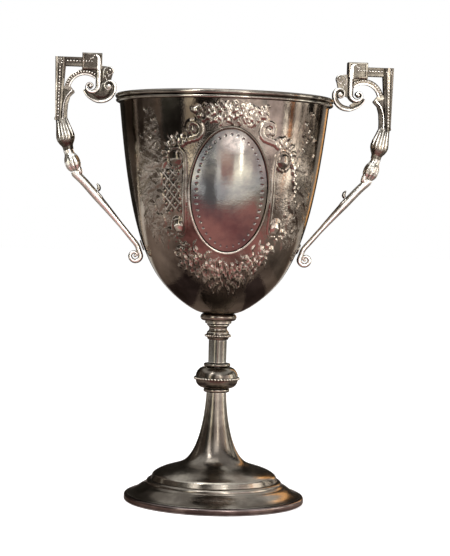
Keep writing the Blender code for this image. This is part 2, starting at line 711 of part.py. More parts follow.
def upright(points, sign):
    """Plane points as points in space, on the side of the given sign."""
    return [(sign * x, 0.0, z) for x, z in points]


def make_handle_head(side, sign, at, parts):
    """Plaque, bars, arch and leaf: the angular upper half of a handle."""
    left = at["plaque_left"]
    right = at["plaque_right"]
    plaque = [
        (left, at["plaque_bottom"]),
        (right, at["plaque_bottom"]),
        (right, at["plaque_top"]),
        (left, at["plaque_top"]),
    ]
    name = side + "_plaque"
    plate(name, mirrored(plaque, sign), PLAQUE_DEPTH, metal(name, SILVER_CAST, 0.35), parts, PLAQUE_EDGE)
    bar_top = RIM_TOP + BAR_RISE
    bar_bottom = bar_top - BAR_HEIGHT
    corner = at["corner"]
    joint = corner - OUTER_BAR_WIDTH
    top_bar = [
        (right + SEAT_GAP, bar_bottom),
        (joint - SEAT_GAP, bar_bottom),
        (joint - SEAT_GAP, bar_top),
        (right + SEAT_GAP, bar_top),
    ]
    name = side + "_top_bar"
    plate(name, mirrored(top_bar, sign), HANDLE_DEPTH, metal(name, SILVER_CAST, 0.35), parts)
    foot_z = RIM_TOP - OUTER_BAR_FOOT_DROP
    foot_x = corner - OUTER_BAR_LEAN
    outer_bar = [
        (joint, bar_top),
        (joint, bar_bottom),
        (foot_x - OUTER_BAR_FOOT_WIDTH, foot_z),
        (foot_x, foot_z),
        (corner, bar_top),
    ]
    name = side + "_outer_bar"
    plate(name, mirrored(outer_bar, sign), HANDLE_DEPTH, metal(name, SILVER_CAST, 0.35), parts)
    centre_z = RIM_TOP + ARCH_RISE
    bar_slope = (joint - foot_x + OUTER_BAR_FOOT_WIDTH) / (bar_bottom - foot_z)
    end_z = centre_z + ARCH_OUTER_RADIUS * math.sin(ARCH_START)
    face = joint - bar_slope * (bar_bottom - end_z)
    centre_x = face - SEAT_GAP - ARCH_OUTER_RADIUS
    middle = ARCH_OUTER_RADIUS - ARCH_WIDTH / 2
    path = arc((centre_x, centre_z), middle, middle, ARCH_START, ARCH_END, 10)
    name = side + "_arch"
    arch = band(path, [ARCH_WIDTH] * len(path))
    plate(name, mirrored(arch, sign), LEAF_DEPTH, metal(name, SILVER_BRIGHT, 0.3), parts)
    top_z = end_z - 2 * SEAT_GAP
    length = top_z - foot_z

    def inward(share, width):
        """The point of the leaf at a share of its height, a width in from the outer bar."""
        z = foot_z + share * length
        return (joint - bar_slope * (bar_bottom - z) - 2 * SEAT_GAP - width, z)

    leaf = [
        inward(1.0 - LEAF_TIP_DROP / length, LEAF_TIP_REACH),
        inward(1.0, 0.0),
        inward(0.0, 0.0),
        inward(0.0, LEAF_WIDTH),
        inward(LEAF_NECK_FROM, LEAF_NECK_WIDTH),
        inward(LEAF_NECK_TO, LEAF_NECK_WIDTH),
    ]
    name = side + "_leaf"
    plate(name, mirrored(leaf, sign), LEAF_DEPTH, metal(name, SILVER_CAST, 0.35), parts)
    return (foot_x - (OUTER_BAR_FOOT_WIDTH + LEAF_WIDTH) / 2, foot_z)


def make_handle_scrolls(side, sign, at, parts):
    """The inner bar with its curl, the C-scroll on the rim and the small volute above it."""
    centre = at["scroll"]
    bar_x = centre[0] - SCROLL_RADIUS
    bar_end = at["plaque_bottom"] - SEAT_GAP
    radii = [SCROLL_RADIUS * share for share in SCROLL_CURL]
    curl = spiral(centre, math.pi, 3 * math.pi, radii, 16)
    path = [(bar_x, bar_end), (bar_x, (bar_end + centre[1]) / 2)] + curl
    curl_widths = [SCROLL_WIDTH * share for share in blend(SCROLL_TAPER, len(curl))]
    widths = [SCROLL_WIDTH, SCROLL_WIDTH] + curl_widths
    name = side + "_scroll"
    plate(name, mirrored(band(path, widths), sign), HANDLE_DEPTH, metal(name, SILVER_CAST, 0.3), parts)
    centre = at["c_scroll"]
    wide = C_SCROLL_RADIUS + C_SCROLL_SPREAD
    radii = (wide, C_SCROLL_RADIUS, C_SCROLL_RADIUS)
    big = spiral(centre, C_SCROLL_TAIL_ANGLE, math.pi, radii, 12)
    eye = (centre[0] - C_SCROLL_RADIUS + VOLUTE_RADIUS, centre[1] + VOLUTE_RISE)
    small = spiral(eye, math.pi, -math.pi, [VOLUTE_RADIUS * share for share in VOLUTE_CURL], 14)
    path = big + small[1:]
    widths = [C_SCROLL_WIDTH * share for share in blend((0.5, 1.0, 1.0), len(big))]
    widths += [C_SCROLL_WIDTH * share for share in blend(VOLUTE_TAPER, len(small))[1:]]
    name = side + "_c_scroll"
    plate(name, mirrored(band(path, widths), sign), HANDLE_DEPTH, metal(name, SILVER_CAST, 0.3), parts)
    reach = UPPER_VOLUTE_RADIUS + UPPER_VOLUTE_WIDTH / 2 + SEAT_GAP
    centre = (bar_x - SCROLL_WIDTH / 2 - reach, RIM_TOP + UPPER_VOLUTE_RISE)
    radii = [UPPER_VOLUTE_RADIUS * share for share in UPPER_VOLUTE_CURL]
    curl = spiral(centre, 0.0, math.tau, radii, 14)
    start = (centre[0] + UPPER_VOLUTE_RADIUS, centre[1] - UPPER_VOLUTE_TAIL)
    path = [start] + curl
    widths = [UPPER_VOLUTE_WIDTH * share for share in blend(UPPER_VOLUTE_TAPER, len(path))]
    name = side + "_upper_volute"
    plate(name, mirrored(band(path, widths), sign), LEAF_DEPTH, metal(name, SILVER_CAST, 0.3), parts)


def make_handle_tail(side, sign, husk_top, parts, cutters):
    """Husk, bud, arm with its end volute, spur and the solder pad on the bowl."""
    top = Vector((husk_top[0], husk_top[1] - SEAT_GAP))
    neck = top + Vector((-HUSK_LEAN, -HUSK_LENGTH))
    path = [tuple(top), (top.x, top.y - HUSK_LENGTH / 10)]
    path += [tuple(top.lerp(neck, share)) for share in HUSK_PLACES] + [tuple(neck)]
    half_top = (OUTER_BAR_FOOT_WIDTH + LEAF_WIDTH) / 2
    radii = [half_top, half_top] + [HUSK_RADIUS * share for share in HUSK_SWELL] + [HUSK_NECK_RADIUS]
    name = side + "_husk"
    rod(name, upright(path, sign), radii, metal(name, SILVER_CAST, 0.35), parts)
    lean = Vector((-BUD_LEAN, -BUD_LENGTH))
    bud_top = neck + lean.normalized() * 2 * SEAT_GAP
    bud_end = bud_top + lean
    path = [tuple(bud_top.lerp(bud_end, share)) for share in BUD_PLACES]
    shoulder = BUD_SHOULDER * BUD_RADIUS
    radii = [HUSK_NECK_RADIUS, shoulder, BUD_RADIUS, shoulder, ARM_TOP_RADIUS]
    name = side + "_bud"
    rod(name, upright(path, sign), radii, metal(name, SILVER_CAST, 0.35), parts)
    pad_z = RIM_TOP - PAD_DROP
    pad_x = bowl_radius(pad_z) + 2 * SEAT_GAP + PAD_THICKNESS + ARM_END_RADIUS
    span = 2 * PAD_HALF_HEIGHT
    slope = (bowl_radius(pad_z + span) - bowl_radius(pad_z - span)) / (2 * span)
    touch = Vector((pad_x + slope * ARM_END_RADIUS, pad_z))
    arm_top = bud_end + lean.normalized() * 2 * SEAT_GAP
    along = touch - arm_top
    inward = Vector((along.y, -along.x)).normalized()
    path = [tuple(arm_top), tuple(arm_top + lean.normalized() * ARM_TOP_RADIUS / 2)]
    path += [tuple(arm_top.lerp(touch, s) + inward * ARM_BOW * math.sin(math.pi * s)) for s in ARM_PLACES]
    wall_way = Vector((slope, 1.0))
    path += [tuple(touch), tuple(touch - wall_way * END_VOLUTE_DROP / 2)]
    start = touch - wall_way * END_VOLUTE_DROP
    eye = (start.x + END_VOLUTE_RADIUS, start.y)
    curl = spiral(eye, math.pi, 3 * math.pi, [END_VOLUTE_RADIUS * share for share in END_VOLUTE_CURL], 14)
    radii = blend((ARM_TOP_RADIUS, ARM_TOP_RADIUS, ARM_END_RADIUS, ARM_END_RADIUS), len(path))
    radii += [ARM_END_RADIUS * share for share in blend(END_VOLUTE_TAPER, len(curl))]
    path += curl
    name = side + "_arm"
    rod(name, upright(path, sign), radii, metal(name, SILVER_BRIGHT, 0.3), parts)
    place = arm_top.lerp(touch, SPUR_PLACE) + inward * ARM_BOW * math.sin(math.pi * SPUR_PLACE)
    base = place + inward * (ARM_TOP_RADIUS + SEAT_GAP)
    up = Vector((math.sin(SPUR_TILT), math.cos(SPUR_TILT)))
    path = [tuple(base + (inward * out + up * rise) * SPUR_LENGTH) for out, rise in SPUR_CURVE]
    radii = [SPUR_RADIUS * share for share in SPUR_TAPER]
    name = side + "_spur"
    rod(name, upright(path, sign), radii, metal(name, SILVER_CAST, 0.35), parts)
    make_pad(side, sign, pad_z, parts, cutters)


def make_pad(side, sign, pad_z, parts, cutters):
    """The solder pad between the bowl and the lower end of a handle."""
    oval = arc((0.0, pad_z), PAD_HALF_WIDTH, PAD_HALF_HEIGHT, 0.0, math.tau, 12)[:-1]
    prism = prism_along_y(side + "_pad_cutter", oval, -2 * MOUTH_RADIUS, 0.0)
    prism.data.transform(Matrix.Rotation(sign * math.pi / 2, 4, "Z"))
    name = side + "_pad"
    far = SEAT_GAP + PAD_THICKNESS
    bowl_patch(name, SEAT_GAP, far, prism, metal(name, SILVER, 0.35), parts, cutters)


def main():
    """Builds the cup from the foot up, then its two handles."""
    clear_scene()
    parts = new_collection("presentation_cup")
    cutters = new_collection("cutters")
    make_foot(parts)
    make_knop(parts)
    make_stem(parts)
    make_fastening(parts)
    make_bowl(parts)
    make_plate(parts, cutters)
    places = handle_places()
    for side, sign in (("left", -1), ("right", 1)):
        husk_top = make_handle_head(side, sign, places, parts)
        make_handle_scrolls(side, sign, places, parts)
        make_handle_tail(side, sign, husk_top, parts, cutters)
    cutters.hide_render = True


main()
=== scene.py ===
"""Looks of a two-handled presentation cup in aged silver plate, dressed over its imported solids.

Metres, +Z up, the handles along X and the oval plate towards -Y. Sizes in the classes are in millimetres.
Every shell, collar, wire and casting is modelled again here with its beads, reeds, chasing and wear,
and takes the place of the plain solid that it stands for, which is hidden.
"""

import logging
import math
from collections.abc import Callable, Sequence
from dataclasses import dataclass
from enum import Enum

import bmesh
import bpy
import numpy as np
from mathutils import Matrix, Vector


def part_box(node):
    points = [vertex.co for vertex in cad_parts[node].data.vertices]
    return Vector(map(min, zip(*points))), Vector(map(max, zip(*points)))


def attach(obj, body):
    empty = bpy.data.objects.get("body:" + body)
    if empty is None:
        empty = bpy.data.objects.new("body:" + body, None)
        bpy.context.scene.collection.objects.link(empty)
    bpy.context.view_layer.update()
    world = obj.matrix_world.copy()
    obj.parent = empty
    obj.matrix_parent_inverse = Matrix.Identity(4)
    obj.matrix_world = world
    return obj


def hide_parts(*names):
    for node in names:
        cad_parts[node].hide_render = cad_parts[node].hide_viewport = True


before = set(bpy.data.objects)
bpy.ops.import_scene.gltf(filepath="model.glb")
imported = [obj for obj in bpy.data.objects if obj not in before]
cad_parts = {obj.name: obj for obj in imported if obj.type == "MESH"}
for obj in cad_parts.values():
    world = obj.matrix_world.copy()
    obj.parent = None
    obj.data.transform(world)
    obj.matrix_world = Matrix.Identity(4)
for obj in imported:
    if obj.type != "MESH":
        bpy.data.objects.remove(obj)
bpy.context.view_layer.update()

MM = 0.001
GAP = 0.3
# Name of the point attribute of wear: tarnish where low, rubbed crests where high. On the bowl, the oval plate and the
# arms it also carries painted highlights, painted shade and a painted dark reflection.
WEAR_AND_PAINTED_LIGHT = "wear"
MATTE = "matte"
WHITE = (1.0, 1.0, 1.0)

Point = tuple[float, float]
Spot = tuple[float, float, float]
Outline = list[Point]
Pulls = tuple[Point, Point]
Section = list[Spot]
Piece = bpy.types.Object
Socket = bpy.types.NodeSocket

log = logging.getLogger("presentation_cup")


# Curves in the plane, in millimetres


def bezier(start: Point, pull_start: Point, pull_end: Point, end: Point, steps: int) -> Outline:
    """Points of a cubic curve, both ends included.

    Args:
        start: First point.
        pull_start: Pull point of the first half.
        pull_end: Pull point of the second half.
        end: Last point.
        steps: Number of steps between the ends.

    Returns:
        The points in order.
    """
    points = []
    corners = (start, pull_start, pull_end, end)
    for step in range(steps + 1):
        t = step / steps
        u = 1.0 - t
        weights = (u**3, 3 * u * u * t, 3 * u * t * t, t**3)
        points.append(tuple(sum(w * c[k] for w, c in zip(weights, corners)) for k in (0, 1)))
    return points


def profile_curve(start: Point, end: Point, pulls: Pulls, steps: int) -> Outline:
    """A cubic curve whose pull points are shares of the way from its start to its end.

    Args:
        start: First point.
        end: Last point.
        pulls: Shares of the width and of the drop for both pull points.
        steps: Number of steps.

    Returns:
        The points in order.
    """
    width, drop = end[0] - start[0], end[1] - start[1]
    pulled = [(start[0] + across * width, start[1] + down * drop) for across, down in pulls]
    return bezier(start, *pulled, end, steps)


def around(centre: Point, radius: float, angle: float) -> Point:
    """The point at a distance and an angle in radians from a centre."""
    return (centre[0] + radius * math.cos(angle), centre[1] + radius * math.sin(angle))


def arc(centre: Point, radius: float, start: float, end: float, steps: int, tall: float = 1.0) -> Outline:
    """Points of an arc, both ends included.

    Args:
        centre: Middle of the circle or ellipse.
        radius: Half width.
        start: First angle in radians.
        end: Last angle in radians.
        steps: Number of steps.
        tall: Share of the half height in the half width.

    Returns:
        The points in order.
    """
    angles = [start + (end - start) * step / steps for step in range(steps + 1)]
    return [(centre[0] + radius * math.cos(a), centre[1] + radius * tall * math.sin(a)) for a in angles]


def half_round(centre: Point, radius: float, half: float, steps: int) -> Outline:
    """The outer half of an ellipse with a radius and a half height, from its top to its bottom."""
    return arc(centre, radius, math.pi / 2, -math.pi / 2, steps, half / radius)


def spiral(centre: Point, start: float, end: float, radii: Sequence[float], steps: int) -> Outline:
    """Points of a curl round a centre, through radii at equal turns.

    Args:
        centre: Eye of the curl.
        start: First angle in degrees.
        end: Last angle in degrees.
        radii: Distances from the eye, evenly spread over the curl.
        steps: Number of steps.

    Returns:
        The points in order.
    """
    first, turn = math.radians(start), math.radians(end) - math.radians(start)
    spread = enumerate(blend(radii, steps + 1))
    return [around(centre, radius, first + turn * step / steps) for step, radius in spread]


def blend(values: Sequence[float], count: int) -> list[float]:
    """A list of the given length that passes evenly through the values."""
    places = np.linspace(0.0, len(values) - 1.0, count)
    return [float(value) for value in np.interp(places, range(len(values)), values)]


def side_normals(path: Outline) -> list[Vector]:
    """A unit normal at each point of an open path, to the left of its direction."""
    ends = zip(path[1:] + path[-1:], path[:1] + path[:-1])
    return [(Vector(after) - Vector(before)).normalized().orthogonal() for after, before in ends]


def moved_left(path: Outline, distance: float) -> Outline:
    """The open path moved to its left by a distance."""
    return [tuple(Vector(point) + normal * distance) for point, normal in zip(path, side_normals(path))]


def band_edges(path: Outline, widths: Sequence[float]) -> tuple[Outline, Outline]:
    """The two edges of a bar that follows a path, with a width at each point."""
    strips = list(zip(path, side_normals(path), widths))
    return tuple([tuple(Vector(p) + n * w * half) for p, n, w in strips] for half in (0.5, -0.5))


def resampled(path: Outline, steps: int) -> Outline:
    """A smooth path through the given points, with evenly spaced points of its own.

    Args:
        path: Points to pass through.
        steps: Number of steps of the result.

    Returns:
        The points in order.
    """
    corners = [Vector(path[0]) * 2 - Vector(path[1])] + [Vector(p) for p in path]
    corners.append(Vector(path[-1]) * 2 - Vector(path[-2]))
    fine = []
    for a, b, c, d in zip(corners, corners[1:], corners[2:], corners[3:]):
        bend, twist = 2 * a - 5 * b + 4 * c - d, 3 * b - a - 3 * c + d
        for t in (step / 12 for step in range(12)):
            fine.append(0.5 * (2 * b + (c - a) * t + bend * t**2 + twist * t**3))
    fine.append(corners[-2])
    run = np.concatenate([[0.0], np.cumsum([(q - p).length for p, q in zip(fine, fine[1:])])])
    places = np.linspace(0.0, run[-1], steps + 1)
    xs, zs = (np.interp(places, run, [p[k] for p in fine]) for k in (0, 1))
    return [(float(x), float(z)) for x, z in zip(xs, zs)]


# Work at the bench: meshes made with the operators


def select_only(piece: Piece) -> None:
    """Deselects everything, then selects one piece and makes it active."""
    bpy.ops.object.select_all(action="DESELECT")
    piece.select_set(True)
    bpy.context.view_layer.objects.active = piece


def named(piece: Piece, name: str) -> Piece:
    """A piece after it and its mesh have been given a name."""
    piece.name = piece.data.name = name
    return piece


def face_outwards() -> None:
    """Turns all faces of the piece in edit mode outwards."""
    bpy.ops.mesh.select_all(action="SELECT")
    bpy.ops.mesh.normals_make_consistent(inside=False)


def closed_wire(name: str, places: Sequence[Spot], wear: Sequence[float]) -> Piece:
    """A ring of edges through the given places, left open in edit mode with all of it selected.

    Args:
        name: Name of the new piece.
        places: Points in space, in millimetres.
        wear: Wear at each point, 0 in a hollow and 1 on a rubbed crest.

    Returns:
        The new piece.
    """
    bpy.ops.object.select_all(action="DESELECT")
    bpy.ops.mesh.primitive_circle_add(vertices=len(places), radius=0.01, fill_type="NOTHING")
    piece = named(bpy.context.object, name)
    bpy.ops.object.mode_set(mode="EDIT")
    shape = bmesh.from_edit_mesh(piece.data)
    layer = shape.verts.layers.float.new(WEAR_AND_PAINTED_LIGHT)
    for vert, place, value in zip(shape.verts, places, wear):
        vert.co = Vector(place) * MM
        vert[layer] = value
    bmesh.update_edit_mesh(piece.data)
    bpy.ops.mesh.select_all(action="SELECT")
    return piece


def closed_up(piece: Piece, smooth: float) -> Piece:
    """Welds a piece in edit mode, turns its faces outwards and shades it smooth below an angle.

    Args:
        piece: The piece that is open in edit mode.
        smooth: Largest angle in degrees between faces that are shaded as one.

    Returns:
        The same piece, in object mode.
    """
    bpy.ops.mesh.select_all(action="SELECT")
    bpy.ops.mesh.remove_doubles(threshold=0.002 * MM)
    face_outwards()
    bpy.ops.object.mode_set(mode="OBJECT")
    select_only(piece)
    bpy.ops.object.transform_apply(location=True, rotation=True, scale=True)
    bpy.ops.object.shade_smooth_by_angle(angle=math.radians(smooth))
    return piece


def eased(outline: Outline, margin: float = 0.45) -> Outline:
    """A closed outline with points added near the ends of its long flats, so that wear stays at the edges.

    Args:
        outline: The closed outline.
        margin: Distance of the new points from the ends.

    Returns:
        The new outline.
    """
    result = []
    for here, after in zip(outline, outline[1:] + outline[:1]):
        result.append(here)
        long = math.dist(here, after)
        shares = (margin / long, 1.0 - margin / long) if long > 3 * margin else ()
        result += [tuple(a + (b - a) * share for a, b in zip(here, after)) for share in shares]
    return result


def crest_wear(outline: Outline) -> list[float]:
    """Wear along a closed outline: high where it bends outwards, low where it bends inwards.

    Args:
        outline: The closed outline.

    Returns:
        The wear at each point.
    """
    after = outline[1:] + outline[:1]
    turn_sign = math.copysign(1.0, sum(a[0] * b[1] - b[0] * a[1] for a, b in zip(outline, after)))
    values = []
    for before, here, to in zip(outline[-1:] + outline[:-1], outline, after):
        into, out = Vector(here) - Vector(before), Vector(to) - Vector(here)
        turn = math.atan2(into.x * out.y - into.y * out.x, into.dot(out)) * turn_sign
        values.append(min(max(0.45 + 0.8 * turn, 0.0), 1.0))
    return values


def spun(name: str, outline: Outline, segments: int, wear: Sequence[float] = (), smooth: float = 42.0) -> Piece:
    """A turned piece: its closed outline, radius and height, spun once round the axis of the cup.

    Args:
        name: Name of the new piece.
        outline: Closed outline in millimetres.
        segments: Number of steps round the axis.
        wear: Wear at each point, or none to take it from the crests and coves of the outline.
        smooth: Largest angle in degrees that is shaded smooth.

    Returns:
        The new piece.
    """
    outline = outline if wear else eased(outline)
    places = [(radius, 0.0, height) for radius, height in outline]
    piece = closed_wire(name, places, wear or crest_wear(outline))
    bpy.ops.mesh.spin(steps=segments, angle=math.tau, center=(0.0, 0.0, 0.0), axis=(0.0, 0.0, 1.0))
    return closed_up(piece, smooth)


def drawn(
    name: str, rings: Sequence[Sequence[Spot]], wears: Sequence[Sequence[float]], smooth: float, closed: bool = False
) -> Piece:
    """A bar or wire extruded through rings of points, capped at both ends or joined to its start.

    Args:
        name: Name of the new piece.
        rings: Points of each ring in space, in millimetres.
        wears: Wear at each point of each ring.
        smooth: Largest angle in degrees that is shaded smooth.
        closed: Whether the last ring lies on the first.

    Returns:
        The new piece.
    """
    piece = closed_wire(name, rings[0], wears[0])
    first = last = list(range(len(rings[0])))
    for ring, wear in zip(rings[1:], wears[1:]):
        bpy.ops.mesh.extrude_region_move()
        shape = bmesh.from_edit_mesh(piece.data)
        shape.verts.index_update()
        shape.verts.ensure_lookup_table()
        layer = shape.verts.layers.float[WEAR_AND_PAINTED_LIGHT]
        fresh = []
        for index, place, value in zip(last, ring, wear):
            old = shape.verts[index]
            new = next(edge.other_vert(old) for edge in old.link_edges if edge.other_vert(old).select)
            new.co = Vector(place) * MM
            new[layer] = value
            fresh.append(new.index)
        bmesh.update_edit_mesh(piece.data)
        last = fresh
    for end in () if closed else (first, last):
        bpy.ops.mesh.select_all(action="DESELECT")
        shape = bmesh.from_edit_mesh(piece.data)
        shape.verts.ensure_lookup_table()
        for index in end:
            shape.verts[index].select = True
        shape.select_flush(True)
        bmesh.update_edit_mesh(piece.data)
        bpy.ops.mesh.edge_face_add()
    return closed_up(piece, smooth)


def ribbon(
    name: str, edges: tuple[Outline, Outline], depths: float | Sequence[float],
    section: Section | Callable[[float], Section], smooth: float = 38.0,
) -> Piece:
    """A bar in the plane of the handles, extruded ring by ring between two edges.

    Args:
        name: Name of the new piece.
        edges: Points of both edges in X and Z, in millimetres, as many on each.
        depths: Depth of the bar along Y, all along it or at each point.
        section: The closed cross-section (across, depth and wear), or what gives it at a share of the length.
        smooth: Largest angle in degrees that is shaded smooth.

    Returns:
        The new piece.
    """
    rings, wears = [], []
    count = len(edges[0])
    depths = [depths] * count if isinstance(depths, float) else depths
    for index, (a, b, depth) in enumerate(zip(*edges, depths)):
        middle, half = (Vector(a) + Vector(b)) / 2, (Vector(b) - Vector(a)) / 2
        cut = section(index / (count - 1)) if callable(section) else section
        rings.append([((middle + half * x).x, y * depth / 2, (middle + half * x).y) for x, y, _ in cut])
        wears.append([value for _, _, value in cut])
    return drawn(name, rings, wears, smooth)


def round_bar(name: str, line: Outline, radii: Sequence[float], section: Section | Callable) -> Piece:
    """A bar that is as deep as it is wide, along a line with a radius at each point."""
    widths = [2 * float(radius) for radius in radii]
    return ribbon(name, band_edges(line, widths), widths, section, 60.0)


def ball(middle: Point, half: Spot, turn: float = 0.0, wear: float = 1.0) -> Piece:
    """A bead or lobe: a small ball stretched along its axes, turned in the plane of the handles and placed.

    Args:
        middle: Its centre, across and up.
        half: Half sizes along X, Y and Z before it is turned.
        turn: Angle in radians from +X towards +Z.
        wear: Wear on its crown.

    Returns:
        The new piece.
    """
    bpy.ops.object.select_all(action="DESELECT")
    bpy.ops.mesh.primitive_uv_sphere_add(segments=10, ring_count=6, radius=MM)
    piece = bpy.context.object
    place = Matrix.Translation(Vector((middle[0], 0.0, middle[1])) * MM)
    piece.data.transform(place @ Matrix.Rotation(-turn, 4, "Y") @ Matrix.Diagonal((*half, 1.0)))
    for value in piece.data.attributes.new(WEAR_AND_PAINTED_LIGHT, "FLOAT", "POINT").data:
        value.value = wear
    bpy.ops.object.shade_smooth()
    return piece


def copied(source: Piece, change: Matrix) -> Piece:
    """A copy of a piece with a mesh of its own, moved in space.

    Args:
        source: The piece to copy.
        change: How the copy is moved.

    Returns:
        The copy.
    """
    piece = source.copy()
    piece.data = source.data.copy()
    piece.data.transform(change)
    bpy.context.scene.collection.objects.link(piece)
    return piece


def joined(parts: Sequence[Piece]) -> Piece:
    """The parts of one casting or wire made one piece.

    Args:
        parts: The parts, of which the first gives its name.

    Returns:
        The piece.
    """
    select_only(parts[0])
    for part in parts:
        part.select_set(True)
    bpy.ops.object.join()
    return parts[0]


def bead_row(radius: float, height: float, bead: float, count: int) -> Piece:
    """A row of beads round the axis of the cup, each a copy of one ball.

    Args:
        radius: Distance of the middle of each bead from the axis.
        height: Height of the row.
        bead: Radius of a bead.
        count: Number of beads.

    Returns:
        The row as one piece.
    """
    first = ball((radius, height), (bead, bead, bead))
    turns = [Matrix.Rotation(math.tau * index / count, 4, "Z") for index in range(1, count)]
    return joined([first] + [copied(first, turn) for turn in turns])


def mirrored(source: Piece, name: str) -> Piece:
    """The same piece for the other handle, with its faces turned outwards again.

    Args:
        source: The piece of the right handle.
        name: Name of the new piece.

    Returns:
        The new piece.
    """
    piece = named(copied(source, Matrix.Diagonal((-1.0, 1.0, 1.0, 1.0))), name)
    select_only(piece)
    bpy.ops.object.mode_set(mode="EDIT")
    face_outwards()
    bpy.ops.object.mode_set(mode="OBJECT")
    return piece


# Finishes


class Slot(Enum):
    """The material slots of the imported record."""

    BODY = "plated_body"
    DARK = "plated_dark"
    WIRE = "plated_wire"
    CAST = "plated_cast"
    STEEL = "steel"


class Nodes:
    """The nodes of a material or of the world, with short ways to add more."""

    def __init__(self, owner: bpy.types.Material | bpy.types.World) -> None:
        """Turns the nodes of their owner on."""
        owner.use_nodes = True
        self.tree = owner.node_tree

    def feed(self, node: bpy.types.Node, inputs: dict[str | int, Socket | Spot | float]) -> bpy.types.Node:
        """Fills inputs of a node: a socket is linked, and a colour or a number is set.

        Args:
            node: The node.
            inputs: What goes into each input, by its name or number.

        Returns:
            The same node.
        """
        for key, value in inputs.items():
            if isinstance(value, Socket):
                self.tree.links.new(value, node.inputs[key])
            else:
                node.inputs[key].default_value = (*value, 1.0) if isinstance(value, tuple) else value
        return node

    def add(self, kind: str, inputs: dict[str | int, Socket | Spot | float], **settings: str) -> bpy.types.Node:
        """A new node.

        Args:
            kind: Its type, without the words that all types begin with.
            inputs: What goes into its inputs.
            **settings: Its other properties.

        Returns:
            The node.
        """
        node = self.tree.nodes.new("ShaderNode" + kind)
        for name, value in settings.items():
            setattr(node, name, value)
        return self.feed(node, inputs)

    def surface(self, inputs: dict[str | int, Socket | Spot | float]) -> None:
        """Fills inputs of the material's own shader."""
        self.feed(self.tree.nodes["Principled BSDF"], inputs)

    def place(self) -> Socket:
        """The coordinates of the object."""
        return self.add("TexCoord", {}).outputs["Object"]

    def attribute(self, name: str) -> Socket:
        """The value of a point attribute of the mesh."""
        return self.add("Attribute", {}, attribute_name=name).outputs["Fac"]

    def noise(self, place: Socket, scale: float, detail: float, rough: float) -> Socket:
        """The value of a noise texture at a place."""
        inputs = {"Vector": place, "Scale": scale, "Detail": detail, "Roughness": rough}
        return self.add("TexNoise", inputs).outputs["Fac"]

    def cells(self, place: Socket, scale: float) -> Socket:
        """Distance from the middle of small cells, for punched matting."""
        return self.add("TexVoronoi", {"Vector": place, "Scale": scale}).outputs["Distance"]

    def mapped(self, value: Socket, low: float, high: float, to_low: float, to_high: float) -> Socket:
        """A value carried smoothly from one range to another and held at its ends."""
        inputs = {"Value": value, "From Min": low, "From Max": high, "To Min": to_low, "To Max": to_high}
        return self.add("MapRange", inputs, interpolation_type="SMOOTHSTEP").outputs["Result"]

    def combined(self, operation: str, first: Socket, second: Socket) -> Socket:
        """Two values put together by a named operation."""
        return self.add("Math", {0: first, 1: second}, operation=operation).outputs[0]

    def mixed(self, share: Socket, first: Socket | Spot, second: Socket | Spot) -> Socket:
        """Two colours, each given as a colour or as a socket, mixed by a share of the second."""
        return self.add("Mix", {"Factor": share, 6: first, 7: second}, data_type="RGBA").outputs[2]

    def length(self, place: Socket) -> Socket:
        """Distance of a place from the origin."""
        return self.add("VectorMath", {0: place}, operation="LENGTH").outputs["Value"]

    def seen(self) -> Socket:
        """1 for what the camera and the metal see, and 0 for the light that falls on the set.

        Returns:
            The value.
        """
        path = self.add("LightPath", {}).outputs
        direct = self.combined("MAXIMUM", path["Is Camera Ray"], path["Is Glossy Ray"])
        return self.combined("MAXIMUM", direct, path["Is Transmission Ray"])

    def spinning_marks(self, place: Socket, strength: float) -> Socket:
        """Fine rings left by the lathe: noise that changes with radius and height alone.

        Args:
            place: Object coordinates.
            strength: Height of the rings.

        Returns:
            The height of the rings.
        """
        parts = self.add("SeparateXYZ", {0: place}).outputs
        flat = self.add("CombineXYZ", {"X": parts["X"], "Y": parts["Y"]}).outputs[0]
        rings = self.add("CombineXYZ", {"X": self.length(flat), "Y": parts["Z"]}).outputs[0]
        return self.mapped(self.noise(rings, 2200.0, 2.0, 0.7), 0.3, 0.7, 0.0, strength)

    def metal(self, colour: Socket, rough: Socket, height: Socket, bump: Point, tint: Spot = WHITE) -> None:
        """Makes the material a metal.

        Args:
            colour: Its colour.
            rough: Its roughness.
            height: Height of its fine marks.
            bump: Strength and depth in metres of those marks.
            tint: Colour of what it mirrors at a flat angle.
        """
        marks = self.add("Bump", {"Strength": bump[0], "Distance": bump[1], "Height": height})
        self.surface({
            "Metallic": 1.0, "Specular Tint": tint, "Base Color": colour, "Roughness": rough,
            "Normal": marks.outputs["Normal"],
        })


@dataclass(frozen=True)
class Metal:
    """What every finish of the cup has: its name, its slot and the colour of its face."""

    name: str
    slot: Slot
    face: Spot

    def material(self) -> bpy.types.Material:
        """The finish as a node material, which is made once.

        Returns:
            The material.
        """
        made = bpy.data.materials.get(self.name)
        if not made:
            made = bpy.data.materials.new(self.name)
            self.shade(Nodes(made))
        return made


